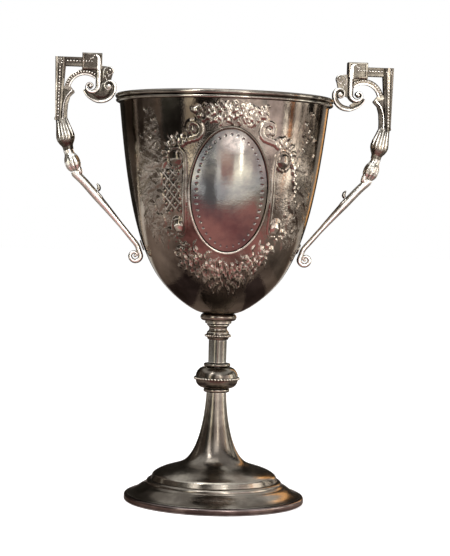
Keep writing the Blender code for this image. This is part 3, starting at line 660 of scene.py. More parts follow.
@dataclass(frozen=True)
class AgedSilver(Metal):
    """Silver plate that has tarnished in its hollows and rubbed bright on its crests."""

    crest: Spot
    hollow: Spot
    bloom: Spot
    roughness: float
    bloom_share: float
    patch_scale: float
    spun_lines: float = 0.0
    matted: bool = False
    edge_tint: Spot = (0.55, 0.55 * 0.96, 0.55 * 0.9)
    grain: Point = (0.05, 0.0004)
    matted_grain: Point = (0.12, 0.0004)

    def shade(self, nodes: Nodes) -> None:
        """Lays tarnish, bloom and rubbed crests over each other, and matting where the bowl is punched.

        Args:
            nodes: The nodes of the new material.
        """
        place, wear = nodes.place(), nodes.attribute(WEAR_AND_PAINTED_LIGHT)
        patches = nodes.mapped(nodes.noise(place, self.patch_scale, 5.0, 0.6), 0.38, 0.66, 0.0, 1.0)
        clouds = nodes.noise(place, self.patch_scale * 0.6, 3.0, 0.55)
        specks = nodes.mapped(nodes.noise(place, 420.0, 4.0, 0.6), 0.3, 0.6, 0.45, 1.0)
        rubbed = nodes.combined("MULTIPLY", nodes.mapped(wear, 0.55, 1.0, 0.0, 1.0), specks)
        colour = nodes.mixed(patches, self.hollow, self.face)
        colour = nodes.mixed(nodes.mapped(clouds, 0.5, 0.72, 0.0, self.bloom_share), colour, self.bloom)
        # Low wear pulls the colour to the hollow tone and high wear to the crest tone. Where the wear holds painted
        # light, this paints highlights, shade and dark reflection into the colour.
        colour = nodes.mixed(nodes.mapped(wear, 0.0, 0.4, 0.9, 0.0), colour, self.hollow)
        colour = nodes.mixed(rubbed, colour, self.crest)
        sheen = nodes.noise(place, 160.0, 4.0, 0.6)
        rough = nodes.mapped(sheen, 0.3, 0.7, self.roughness * 0.75, self.roughness * 1.3)
        height = nodes.noise(place, 900.0, 3.0, 0.6)
        if self.spun_lines:
            height = nodes.combined("ADD", height, nodes.spinning_marks(place, self.spun_lines))
        if self.matted:
            matte = nodes.attribute(MATTE)
            rough = nodes.combined("ADD", rough, nodes.mapped(matte, 0.0, 1.0, 0.0, 0.2))
            dots = nodes.mapped(nodes.cells(place, 1100.0), 0.0, 0.6, -4.0, 1.0)
            curls = nodes.mapped(nodes.cells(place, 430.0), 0.1, 0.7, 2.5, 0.0)
            punched = [nodes.combined("MULTIPLY", matte, layer) for layer in (dots, curls)]
            height = nodes.combined("ADD", height, nodes.combined("ADD", *punched))
        nodes.metal(colour, rough, height, self.matted_grain if self.matted else self.grain, self.edge_tint)


@dataclass(frozen=True)
class TurnedSteel(Metal):
    """Plain turned steel, dull and lightly rusted, for what holds the cup together."""

    rust: Spot
    roughness: float = 0.42

    def shade(self, nodes: Nodes) -> None:
        """Lays rust spots and lathe marks over the steel.

        Args:
            nodes: The nodes of the new material.
        """
        place = nodes.place()
        spots = nodes.mapped(nodes.noise(place, 260.0, 5.0, 0.65), 0.52, 0.7, 0.0, 0.8)
        rough = nodes.mapped(spots, 0.0, 0.8, self.roughness, self.roughness + 0.3)
        marks = nodes.combined("ADD", nodes.noise(place, 1500.0, 2.0, 0.5), nodes.spinning_marks(place, 1.0))
        nodes.metal(nodes.mixed(spots, self.face, self.rust), rough, marks, (0.15, 0.0003))


PLATE_BODY = AgedSilver(
    "aged_plate", Slot.BODY, face=(0.3, 0.275, 0.235), crest=(0.57, 0.54, 0.47), hollow=(0.11, 0.095, 0.08),
    bloom=(0.24, 0.17, 0.13), roughness=0.2, bloom_share=0.3, patch_scale=34.0, spun_lines=0.8,
)
PLATE_FOOT_BAND = AgedSilver(
    "mauve_plate", Slot.DARK, face=(0.29, 0.24, 0.225), crest=(0.50, 0.45, 0.42), hollow=(0.08, 0.058, 0.055),
    bloom=(0.2, 0.14, 0.14), roughness=0.2, bloom_share=0.4, patch_scale=26.0, spun_lines=0.8,
)
PLATE_BOWL = AgedSilver(
    "tarnished_plate", Slot.DARK, face=(0.37, 0.325, 0.275), crest=(0.74, 0.70, 0.61), hollow=(0.062, 0.05, 0.042),
    bloom=(0.27, 0.19, 0.15), roughness=0.06, bloom_share=0.3, patch_scale=20.0, matted=True,
)
PLATE_RIM = AgedSilver(
    "rubbed_wire", Slot.WIRE, face=(0.22, 0.195, 0.165), crest=(0.62, 0.59, 0.52), hollow=(0.1, 0.087, 0.073),
    bloom=(0.16, 0.11, 0.08), roughness=0.15, bloom_share=0.3, patch_scale=60.0,
)
PLATE_STEM = AgedSilver(
    "rubbed_tube", Slot.WIRE, face=(0.17, 0.16, 0.14), crest=(0.50, 0.47, 0.42), hollow=(0.09, 0.082, 0.07),
    bloom=(0.15, 0.12, 0.09), roughness=0.14, bloom_share=0.2, patch_scale=40.0,
)
PLATE_CAST = AgedSilver(
    "cast_plate", Slot.CAST, face=(0.24, 0.218, 0.183), crest=(0.97, 0.94, 0.87), hollow=(0.06, 0.053, 0.044),
    bloom=(0.25, 0.19, 0.13), roughness=0.26, bloom_share=0.25, patch_scale=90.0,
)
PLATE_ARCH = AgedSilver(
    "bright_arch", Slot.WIRE, face=(0.42, 0.39, 0.33), crest=(0.95, 0.92, 0.85), hollow=(0.06, 0.052, 0.042),
    bloom=(0.4, 0.32, 0.22), roughness=0.24, bloom_share=0.2, patch_scale=90.0,
)
# Painted highlight: the arm and the bud are the same silver plate as the rest, made far paler to stand for the light
# that falls on them.
PLATE_ARM_PAINTED_HIGHLIGHT = AgedSilver(
    "polished_arm_painted_highlight", Slot.WIRE, face=(0.82, 0.80, 0.74), crest=(0.95, 0.93, 0.88), hollow=(0.36, 0.34, 0.30),
    bloom=(0.72, 0.66, 0.55), roughness=0.24, bloom_share=0.25, patch_scale=60.0,
)
PLATE_OVAL = AgedSilver(
    "oval_reserve", Slot.BODY, face=(0.33, 0.31, 0.265), crest=(0.62, 0.60, 0.56), hollow=(0.15, 0.15, 0.15),
    bloom=(0.27, 0.15, 0.14), roughness=0.11, bloom_share=0.4, patch_scale=36.0,
)
STEEL = TurnedSteel("turned_steel", Slot.STEEL, face=(0.28, 0.27, 0.26), rust=(0.12, 0.055, 0.025))


def coated(piece: Piece, finish: Metal) -> None:
    """Gives a piece a finish in place of its own materials."""
    piece.data.materials.clear()
    piece.data.materials.append(finish.material())


def dressed(piece: Piece, finish: Metal, node: str) -> None:
    """Gives a piece its finish, makes it ride on the cup and stand for its solid, and reports it.

    Args:
        piece: The finished piece.
        finish: Its finish.
        node: The solid that it stands for.
    """
    coated(piece, finish)
    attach(piece, "root")
    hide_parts(node)
    log.info("%s: %d faces, finish %s", piece.name, len(piece.data.polygons), finish.name)


def extent(node: str) -> tuple[float, float, float, float]:
    """Left, right, bottom and top of a solid, in millimetres."""
    low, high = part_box(node)
    return low.x / MM, high.x / MM, low.z / MM, high.z / MM


# The turned pieces


@dataclass
class Foot:
    """The spun foot and the upright band under its edge."""

    radius: float = 56.6
    band_height: float = 4.2
    band_width: float = 3.4
    band_rounding: Point = (1.3, 1.1)
    height: float = 68.4
    wall: float = 1.1
    edge_inset: float = 1.6
    trumpet_top: float = 6.3
    trumpet_base: Point = (21.5, 23.9)
    trumpet_pulls: Pulls = ((0.04, 0.38), (0.31, 0.915))
    dome_edge: Point = (38.8, 16.5)
    dome_pulls: Pulls = ((0.20, 0.27), (0.76, 0.42))
    upper_ridge: Point = (42.7, 13.5)
    upper_ridge_drop: float = 2.2
    ridge_pulls: Pulls = ((0.6, 0.0), (1.0, 0.4))
    lower_ridge_height: float = 10.2
    skirt_pulls: Pulls = ((0.32, 0.17), (0.42, 0.67))
    cove: float = 1.3

    def upper(self, steps: int) -> Outline:
        """Outer side of the trumpet and the dome, from the top down."""
        trumpet = profile_curve((self.trumpet_top, self.height), self.trumpet_base, self.trumpet_pulls, 2 * steps)
        return trumpet[:-1] + profile_curve(self.trumpet_base, self.dome_edge, self.dome_pulls, steps)

    def lower(self, steps: int) -> Outline:
        """Outer side of the ridge and the skirt, down to the edge on the band.

        Args:
            steps: Number of steps of the ridge.

        Returns:
            The points in order.
        """
        ridge_top = (self.dome_edge[0] + self.cove, self.upper_ridge[1])
        ridge_foot = (self.upper_ridge[0], self.upper_ridge[1] - self.upper_ridge_drop)
        skirt_top = (self.upper_ridge[0] + self.cove, self.lower_ridge_height)
        edge = (self.radius - self.edge_inset, self.band_height + GAP)
        ridge = profile_curve(ridge_top, ridge_foot, self.ridge_pulls, steps)
        return ridge + profile_curve(skirt_top, edge, self.skirt_pulls, 2 * steps)

    def inside(self, steps: int) -> Outline:
        """Inner side of the shell, from its edge up to the top of the trumpet.

        Args:
            steps: Number of steps of the dome.

        Returns:
            The points in order.
        """
        edge = (self.radius - self.edge_inset - self.wall, self.band_height + GAP)
        under_ridge = (self.upper_ridge[0] - self.wall, self.lower_ridge_height - self.wall)
        smooth = moved_left(self.upper(steps), -self.wall)
        smooth[0] = (self.trumpet_top - self.wall, self.height)
        return [edge, under_ridge] + smooth[::-1]

    def build(self) -> None:
        """Builds and dresses both pieces."""
        dressed(spun("spun_foot", self.upper(14) + self.lower(8) + self.inside(8), 160), PLATE_BODY, "foot")
        inner = self.radius - self.band_width
        high, low = self.band_rounding
        edge = arc((self.radius - high, self.band_height - high), high, math.pi / 2, 0.0, 7)
        edge += arc((self.radius - low, low), low, 0.0, -math.pi / 2, 6)
        band = [(inner, self.band_height)] + edge + [(inner, 0.0)]
        dressed(spun("foot_band", band, 160), PLATE_FOOT_BAND, "foot_ring")


@dataclass
class Knop:
    """The hollow ball on the stem: two half shells, the beaded wire over their joint and two collars."""

    radius: float = 13.4
    mouth: float = 8.7
    wall: float = 1.0
    bore: float = 2.5
    bead: float = 0.8
    bead_count: int = 44
    lower_pulls: Pulls = ((0.0, 0.5), (0.31, 0.92))
    upper_pulls: Pulls = ((0.52, 0.07), (1.0, 0.46))

    def collar(self, name: str, node: str) -> None:
        """A plain turned collar with a rounded side.

        Args:
            name: Name of the piece.
            node: The solid that it stands for.
        """
        _, radius, bottom, top = extent(node)
        half = (top - bottom) / 2
        side = half_round((radius - half * 0.8, bottom + half), half * 0.8, half, 12)
        dressed(spun(name, side + [(self.bore, bottom), (self.bore, top)], 96), PLATE_BODY, node)

    def shell(self, name: str, node: str, outer: Outline) -> None:
        """One half of the ball, between the wire and a collar."""
        dressed(spun(name, outer + moved_left(outer, -self.wall)[::-1], 128), PLATE_BODY, node)

    def wire(self) -> None:
        """The wire over the joint, with its row of beads."""
        _, edge, bottom, top = extent("knop_bead_wire")
        middle = (bottom + top) / 2
        strip = half_round((self.radius + GAP, middle), 0.35, 0.85, 6)
        core = spun("knop_wire", strip, 128, [0.0] * len(strip))
        beads = bead_row(edge - self.bead, middle, self.bead, self.bead_count)
        dressed(joined([core, beads]), PLATE_RIM, "knop_bead_wire")

    def build(self) -> None:
        """Builds and dresses the collars, the shells and the wire."""
        self.collar("lower_collar", "knop_lower_collar")
        _, _, bottom, joint = extent("knop_lower_shell")
        lower = profile_curve((self.radius, joint), (self.mouth, bottom), self.lower_pulls, 16)
        self.shell("lower_half_knop", "knop_lower_shell", lower)
        top = extent("knop_upper_shell")[3]
        upper = profile_curve((self.mouth, top), (self.radius, joint + GAP), self.upper_pulls, 16)
        self.shell("upper_half_knop", "knop_upper_shell", upper)
        self.wire()
        self.collar("upper_collar", "knop_upper_collar")


@dataclass
class Stem:
    """The plain tube, the beaded ring, the waisted spool and the collar under the bowl."""

    bore: float = 2.5
    tube_wall: float = 1.2
    tube_chamfer: float = 0.2
    spool_end: float = 7.1
    spool_waist: float = 5.6
    spool_lip: float = 0.35
    ring_foot: float = 6.5
    bead: float = 0.78
    bead_count: int = 30
    step_radius: float = 8.3
    step_height: float = 2.2
    step_rounding: float = 0.66
    socket: float = 5.7
    socket_depth: float = 4.0

    def build(self) -> None:
        """Builds and dresses the four pieces."""
        self.tube()
        self.ring()
        self.spool()
        self.cup_collar()

    def tube(self) -> None:
        """The plain tube, with its edges taken off."""
        _, radius, bottom, top = extent("stem_tube")
        inner, chamfer = radius - self.tube_wall, self.tube_chamfer
        side = [(radius - chamfer, top), (radius, top - chamfer), (radius, bottom + chamfer), (radius - chamfer, bottom)]
        dressed(spun("plain_stem", side + [(inner, bottom), (inner, top)], 96), PLATE_STEM, "stem_tube")

    def ring(self) -> None:
        """The ring with a row of beads round its edge."""
        _, edge, bottom, top = extent("beaded_ring")
        middle = bottom + 0.61 * (top - bottom)
        seat = edge - 1.1
        slope = profile_curve((self.spool_end, top), (seat, middle + 0.75), ((0.1, 0.5), (0.5, 0.95)), 6)
        under = profile_curve((seat, middle - 0.75), (self.ring_foot, bottom), ((0.5, 0.1), (0.85, 0.6)), 6)
        outline = slope + under + [(self.bore, bottom), (self.bore, top)]
        core = spun("beaded_ring_core", outline, 96, [0.3] * 6 + [0.0, 0.0] + [0.3] * 8)
        beads = bead_row(edge - self.bead, middle, self.bead, self.bead_count)
        dressed(joined([core, beads]), PLATE_RIM, "beaded_ring")

    def spool(self) -> None:
        """The waisted spool."""
        _, _, bottom, top = extent("neck_spool")
        pull, drop = (4 * self.spool_waist - self.spool_end) / 3, 0.35 * (top - bottom)
        ends = [(self.spool_end, top - self.spool_lip), (self.spool_end, bottom + self.spool_lip)]
        waist = bezier(ends[0], (pull, top - drop), (pull, bottom + drop), ends[1], 18)
        outline = [(self.spool_end, top)] + waist + [(self.spool_end, bottom), (self.bore, bottom), (self.bore, top)]
        dressed(spun("waisted_neck", outline, 96), PLATE_BODY, "neck_spool")

    def cup_collar(self) -> None:
        """The torus over a step that carries the bowl."""
        _, radius, bottom, top = extent("bowl_collar")
        step_top, floor = bottom + self.step_height, top - self.socket_depth
        swell = (top - step_top) / 2
        torus = half_round((radius - swell, step_top + swell), swell, swell, 20)
        step = [(self.step_radius, step_top), (self.step_radius, bottom + self.step_rounding), (self.spool_end, bottom)]
        bore = [(self.bore, bottom), (self.bore, floor), (self.socket, floor), (self.socket, top)]
        dressed(spun("bowl_seat", torus + step + bore, 112), PLATE_BODY, "bowl_collar")


@dataclass
class Fastening:
    """The tie rod, washer, nut and boss inside, which keep the shapes of their solids."""

    nodes: tuple[str, ...] = ("tie_rod", "washer", "nut", "bowl_boss")

    def build(self) -> None:
        """Dresses the four solids."""
        for name in self.nodes:
            coated(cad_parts[name], STEEL)
            log.info("%s keeps its solid, finish %s", name, STEEL.name)


# The bowl and its chasing

# Heights over which the painted dark reflection on the plain bowl fades, from darkest at the foot.
PAINTED_DARK_LEVELS = (122.0, 146.0, 170.0)
OVAL_LEVEL = 194.5
PLAIN_WEAR = 0.45


class Cut(Enum):
    """How a chased stroke stands on the wall."""

    RIB = "rounded ridge"
    SCROLL = "ridge with a groove along its middle"
    LINE = "fine groove"


@dataclass
class Relief:
    """Height, wear and matting of the chased wall, over a grid of angle and height."""

    angle: np.ndarray
    level: np.ndarray

    def __post_init__(self) -> None:
        """Starts with a plain wall, painted darker towards its foot as a dark reflection."""
        self.height = np.zeros_like(self.angle)
        self.wear = np.interp(self.level, PAINTED_DARK_LEVELS, (0.2, 0.3, PLAIN_WEAR))
        self.matte = np.zeros_like(self.angle)

    def near(self, points: np.ndarray, reach: float) -> np.ndarray:
        """The flat indices of the grid points within reach of the box round some points.

        Args:
            points: The points, as rows of angle and height.
            reach: How far beyond their box to look.

        Returns:
            The indices.
        """
        low, high = points.min(0) - reach, points.max(0) + reach
        inside = (self.angle > low[0]) & (self.angle < high[0]) & (self.level > low[1]) & (self.level < high[1])
        return np.nonzero(inside)[0]

    def raised(self, where: np.ndarray, height: np.ndarray, wear: np.ndarray, matte: float) -> None:
        """Lays a form over what is lower than it.

        Args:
            where: Indices of the grid points under the form.
            height: Its height at each of them.
            wear: Its wear at each of them.
            matte: How far it is matted.
        """
        higher = height > self.height[where]
        for layer, value in ((self.height, height), (self.wear, np.clip(wear, 0.0, 1.0)), (self.matte, matte)):
            layer[where] = np.where(higher, value, layer[where])

    def stroke(
        self, path: Outline, wide: Sequence[float], rise: float, cut: Cut = Cut.RIB, steps: int = 24,
        shine: float = 0.4, matte: float = 0.0,
    ) -> None:
        """Lays a stroke along a smooth path.

        Args:
            path: Points in millimetres round the wall and up it.
            wide: Half widths, spread evenly over the stroke.
            rise: Height of the stroke.
            cut: How it stands on the wall.
            steps: Steps along the path.
            shine: How far its crest is rubbed.
            matte: How far it is matted.
        """
        line, half = np.array(resampled(path, steps)), np.array(blend(wide, steps + 1))
        where = self.near(line, float(half.max()) + 0.8)
        spots = np.stack([self.angle[where], self.level[where]], 1)
        best = np.full(len(where), 9.0)
        for a, b, w0, w1 in zip(line, line[1:], half, half[1:]):
            along = b - a
            share = np.clip(((spots - a) @ along) / max(float(along @ along), 1e-9), 0.0, 1.0)
            gone = np.linalg.norm(spots - (a + share[:, None] * along), axis=1)
            best = np.minimum(best, gone / np.maximum(w0 + (w1 - w0) * share, 0.05))
        if cut is Cut.SCROLL or rise > 1.4:
            beside = where[(best >= 1.0) & (best < 1.0 + 0.6 / half.max())]
            self.wear[beside] = np.minimum(self.wear[beside], 0.12)
            self.height[beside] *= 0.6
        where, best = where[best < 1.0], best[best < 1.0]
        if cut is Cut.LINE:
            self.height[where] -= rise * (1.0 - best**2)
            self.wear[where] = np.minimum(self.wear[where], shine)
            return
        dome = np.sqrt(1.0 - best**2)
        worn = 0.42 + shine * dome
        if cut is Cut.SCROLL:
            groove = np.exp(-((best / 0.34) ** 2))
            dome = dome * (1.0 - 0.6 * groove)
            worn = worn * (1.0 - 0.85 * groove)
        self.raised(where, rise * dome, worn, matte)

    def flower(self, centre: Point, radius: float, petals: int, rise: float, turn: float, shine: float) -> None:
        """A small open flower with a button in its middle.

        Args:
            centre: Place round the wall and up it.
            radius: Radius of the flower.
            petals: Number of petals.
            rise: Height of its petals.
            turn: Angle of the first petal.
            shine: How far its petals are rubbed.
        """
        where = self.near(np.array([centre]), radius + 0.3)
        x, z = self.angle[where] - centre[0], self.level[where] - centre[1]
        gone = np.hypot(x, z) / radius
        lobe = np.abs(np.cos((np.arctan2(z, x) - turn) * petals / 2))
        share = gone / (0.55 + 0.45 * lobe)
        inside = share < 1.0
        where, gone, lobe, share = where[inside], gone[inside], lobe[inside], share[inside]
        dome = np.sin(np.pi * share**0.8) * (0.45 + 0.55 * lobe)
        button = np.clip(1.0 - (gone / 0.24) ** 2, 0.0, 1.0)
        self.matte[where] = 0.0
        worn = 0.22 + (0.28 + shine) * np.maximum(dome**1.5, button)
        self.raised(where, rise * np.maximum(dome, 1.15 * np.sqrt(button)), worn, 0.0)

    def dot(self, centre: Point, radius: float, rise: float) -> None:
        """A round punched bead.

        Args:
            centre: Place round the wall and up it.
            radius: Radius of the bead.
            rise: Its height.
        """
        where = self.near(np.array([centre]), radius + 0.1)
        gone = np.hypot(self.angle[where] - centre[0], self.level[where] - centre[1]) / radius
        where, gone = where[gone < 1.0], gone[gone < 1.0]
        dome = np.sqrt(1.0 - gone**2)
        self.height[where] = np.maximum(self.height[where], rise * dome)
        self.wear[where] = 0.15 + 0.75 * dome**2
        self.matte[where] = 0.0


@dataclass
class Bowl:
    """The raised and chased bowl, its rim wire, and the oval plate with its border."""

    height: float = 135.0
    wall: float = 1.1
    base: float = 10.5
    belly: float = 40.5
    belly_height: float = 24.6
    belly_slope: float = math.radians(31.9)
    mouth: float = 66.0
    mouth_slope: float = math.radians(6.1)
    columns: int = 560
    crowding: float = 0.35
    zone: Point = (127.0, 249.0)
    zone_rows: int = 155
    plain_row: float = 251.2
    upper_reed: Point = (2.03, 1.55)
    lower_reed: Point = (1.6, 1.15)
    oval: Point = (22.6, 36.0)
    plate_grid: tuple[int, int] = (92, 146)
    plate_lift: float = 0.7
    plate_thick: float = 0.65
    dot_inset: float = 3.0
    dot_count: int = 44
    dot_radius: float = 0.85
    border_radius: float = 0.9
    border_reach: float = 1.2
    degree: float = 1.08

    def __post_init__(self) -> None:
        """Works out the outline of the outer wall, and its radii and levels from the base up."""
        self.bottom = extent("bowl")[2]
        self.side = self.outline()
        self.radii, self.levels = ([point[k] for point in reversed(self.side)] for k in (0, 1))

    def outline(self) -> Outline:
        """Outer side of the bowl, from the mouth down to the edge of its flat base.

        Returns:
            The points in order.
        """
        base = Vector((self.base, self.bottom))
        belly = Vector((self.belly, self.bottom + self.belly_height))
        mouth = Vector((self.mouth, self.bottom + self.height))
        lower, upper = (belly - base).length, (mouth - belly).length
        belly_way, mouth_way = (Vector((math.sin(a), math.cos(a))) for a in (self.belly_slope, self.mouth_slope))
        side = bezier(mouth, mouth - mouth_way * upper * 0.43, belly + belly_way * upper * 0.25, belly, 40)
        foot = bezier(belly, belly - belly_way * lower * 0.43, base + Vector((lower * 0.12, 0.0)), base, 24)
        return side[:-1] + foot

    def radius_at(self, level: float) -> float:
        """Outer radius of the bowl at a height."""
        return float(np.interp(level, self.levels, self.radii))

    def build(self) -> None:
        """Builds and dresses the shell, the rim wire, the plate and its border."""
        self.shell()
        self.rim()
        self.plate()
        self.border()

    def shell(self) -> None:
        """The bowl itself: spun with fine rows where it is chased, then worked into relief."""
        rows = [self.plain_row] + [float(z) for z in np.linspace(self.zone[1], self.zone[0], self.zone_rows)]
        below = [point for point in self.side if point[1] < self.zone[0] - 1.0][::3]
        outer = [self.side[0]] + [(self.radius_at(z), z) for z in rows] + below
        if below[-1] != self.side[-1]:
            outer.append(self.side[-1])
        inside = moved_left(self.side[::8], -self.wall)
        inside[0] = (self.mouth - self.wall, self.side[0][1])
        floor = self.bottom + self.wall
        inner = [(0.0, floor)] + [(r, max(z, floor)) for r, z in inside[:0:-1]] + [inside[0]]
        outline = inner + outer + [(0.0, self.bottom)]
        piece = spun("chased_bowl", outline, self.columns, [PLAIN_WEAR] * len(outline), 50.0)
        self.chase(piece)
        dressed(piece, PLATE_BOWL, "bowl")

    def chase(self, piece: Piece) -> None:
        """Crowds the columns towards the front, then works the ornament into the outer wall.

        Args:
            piece: The plain shell.
        """
        mesh = piece.data
        flat = np.empty(len(mesh.vertices) * 3, np.float32)
        mesh.vertices.foreach_get("co", flat)
        spots = flat.reshape(-1, 3).astype(float) / MM
        turns = np.arctan2(spots[:, 0], -spots[:, 1])
        turns -= self.crowding * np.sin(turns)
        spots[:, :2] = np.hypot(spots[:, 0], spots[:, 1])[:, None] * np.stack([np.sin(turns), -np.cos(turns)], 1)
        round_wall, level = np.hypot(spots[:, 0], spots[:, 1]), spots[:, 2].copy()
        outer = round_wall > np.interp(level, self.levels, self.radii) - 0.4
        index = np.nonzero(outer & (level > self.zone[0] - 0.5) & (level < self.zone[1] + 0.5))[0]
        degrees = np.degrees(np.arctan2(spots[:, 0], -spots[:, 1]))
        back = np.abs(degrees) > 90.0
        local = np.where(back, np.where(degrees > 0, 180.0 - degrees, -180.0 - degrees), degrees)
        front = Relief(local[index] * self.degree, level[index])
        Chasing(front, self.degree).work()
        slope = np.diff(self.radii) / np.diff(self.levels)
        tilt = np.arctan(np.interp(level[index], self.levels[:-1], slope))
        rise = front.height * np.clip((level[index] - self.zone[0]) / 4.0, 0.0, 1.0)
        spots[index, :2] += spots[index, :2] / round_wall[index, None] * (rise * np.cos(tilt))[:, None]
        spots[index, 2] -= rise * np.sin(tilt)
        mesh.vertices.foreach_set("co", (spots * MM).astype(np.float32).ravel())
        # Painted dark reflection: the wall is darker towards its foot.
        worn = np.interp(spots[:, 2], PAINTED_DARK_LEVELS, (0.3, 0.38, PLAIN_WEAR)).astype(np.float32)
        worn[index] = front.wear
        sides = np.clip((24.0 - np.minimum(np.abs(degrees), 180.0 - np.abs(degrees))) / 6.0, 0.0, 1.0)
        matte = (0.9 * sides * np.clip((135.0 - spots[:, 2]) / 5.0, 0.0, 1.0)).astype(np.float32)
        matte[index] = np.maximum(matte[index], front.matte)
        mesh.attributes[WEAR_AND_PAINTED_LIGHT].data.foreach_set("value", worn)
        mesh.attributes.new(MATTE, "FLOAT", "POINT").data.foreach_set("value", matte)
        mesh.update()

    def rim(self) -> None:
        """The reeded wire round the mouth: a wide reed over a narrow one."""
        top = extent("rim_wire")[3]
        outline = []
        for (radius, half), drop, start, end, steps in (
            (self.upper_reed, 1.55, math.pi / 2, -math.pi / 3, 12), (self.lower_reed, 4.25, math.pi / 3, -math.pi / 2, 10),
        ):
            outline += arc((self.mouth + GAP, top - drop), radius, start, end, steps, half / radius)
        dressed(spun("reeded_rim", outline, 224), PLATE_RIM, "rim_wire")

    def on_wall(self, x: float, level: float, lift: float) -> Spot:
        """A point in front of the bowl's wall, at a place across and up, in millimetres."""
        radius = self.radius_at(level) + lift
        return (x, -math.sqrt(max(radius * radius - x * x, 0.0)), level)

    def plate(self) -> None:
        """The bare oval plate, curved to the bowl, with a row of punched dots inside its edge."""
        bpy.ops.object.select_all(action="DESELECT")
        columns, rows = self.plate_grid
        bpy.ops.mesh.primitive_grid_add(x_subdivisions=columns, y_subdivisions=rows, size=2.0)
        piece = named(bpy.context.object, "bare_oval_plate")
        layer = piece.data.attributes.new(WEAR_AND_PAINTED_LIGHT, "FLOAT", "POINT")
        across, high = self.oval
        inner, tall = across - self.dot_inset, (high - self.dot_inset) / (across - self.dot_inset)
        dots = np.array(resampled(arc((0.0, OVAL_LEVEL), inner, 0.0, math.tau, 720, tall), self.dot_count)[:-1])
        for vert, value in zip(piece.data.vertices, layer.data):
            u, v = vert.co.x, vert.co.y
            x = across * u * math.sqrt(1.0 - v * v / 2)
            level = OVAL_LEVEL + high * v * math.sqrt(1.0 - u * u / 2)
            gone = float(np.min(np.hypot(dots[:, 0] - x, dots[:, 1] - level)))
            pit = max(1.0 - (gone / self.dot_radius) ** 2, 0.0)
            vert.co = Vector(self.on_wall(x, level, GAP + self.plate_lift - 0.3 * pit)) * MM
            # Painted highlight: a soft patch near the top of the plate is made lighter. The punched dots are darker, as
            # tarnish in their hollows.
            glow = max(1.0 - math.hypot((x - 2.0) / 11.0, (level - 223.0) / 9.0), 0.0)
            value.value = 0.5 + 0.6 * min(glow, 0.7) - 0.5 * min(pit * 2.0, 1.0)
        select_only(piece)
        bpy.ops.object.mode_set(mode="EDIT")
        face_outwards()
        bpy.ops.mesh.extrude_region_move()
        bpy.ops.transform.translate(value=(0.0, self.plate_thick * MM, 0.0))
        dressed(closed_up(piece, 40.0), PLATE_OVAL, "presentation_plate")

    def border(self) -> None:
        """The wire that frames the oval plate, soldered to the bowl."""
        across, high = (half + self.border_reach for half in self.oval)
        path = arc((0.0, OVAL_LEVEL), across, 0.0, math.tau, 120, high / across)
        line = [Vector(self.on_wall(x, level, self.border_reach + self.border_radius / 4)) for x, level in path]
        angles = [math.tau * k / 12 for k in range(12)]
        rings, wears = [], []
        for index, ((x, level), here) in enumerate(zip(path, line)):
            along = (line[(index + 1) % 120] - line[(index - 1) % 120]).normalized()
            out = Vector((here.x, here.y, -0.3 * self.radius_at(level))).normalized()
            side = along.cross(out).normalized()
            out = side.cross(along).normalized()
            rings.append([here + (side * math.cos(a) + out * math.sin(a)) * self.border_radius for a in angles])
            # Painted light and shade: the wire is made lighter towards the bottom left and darker towards the top
            # right, and its outer face is rubbed brighter.
            low = min(max(0.5 - 0.9 * (level - OVAL_LEVEL) / self.oval[1] - 0.25 * x / self.oval[0], 0.0), 1.0)
            wears.append([0.12 + 0.88 * low * max(math.sin(a), 0.0) for a in angles])
        dressed(drawn("oval_border", rings, wears, 60.0, True), PLATE_RIM, "plate_border")


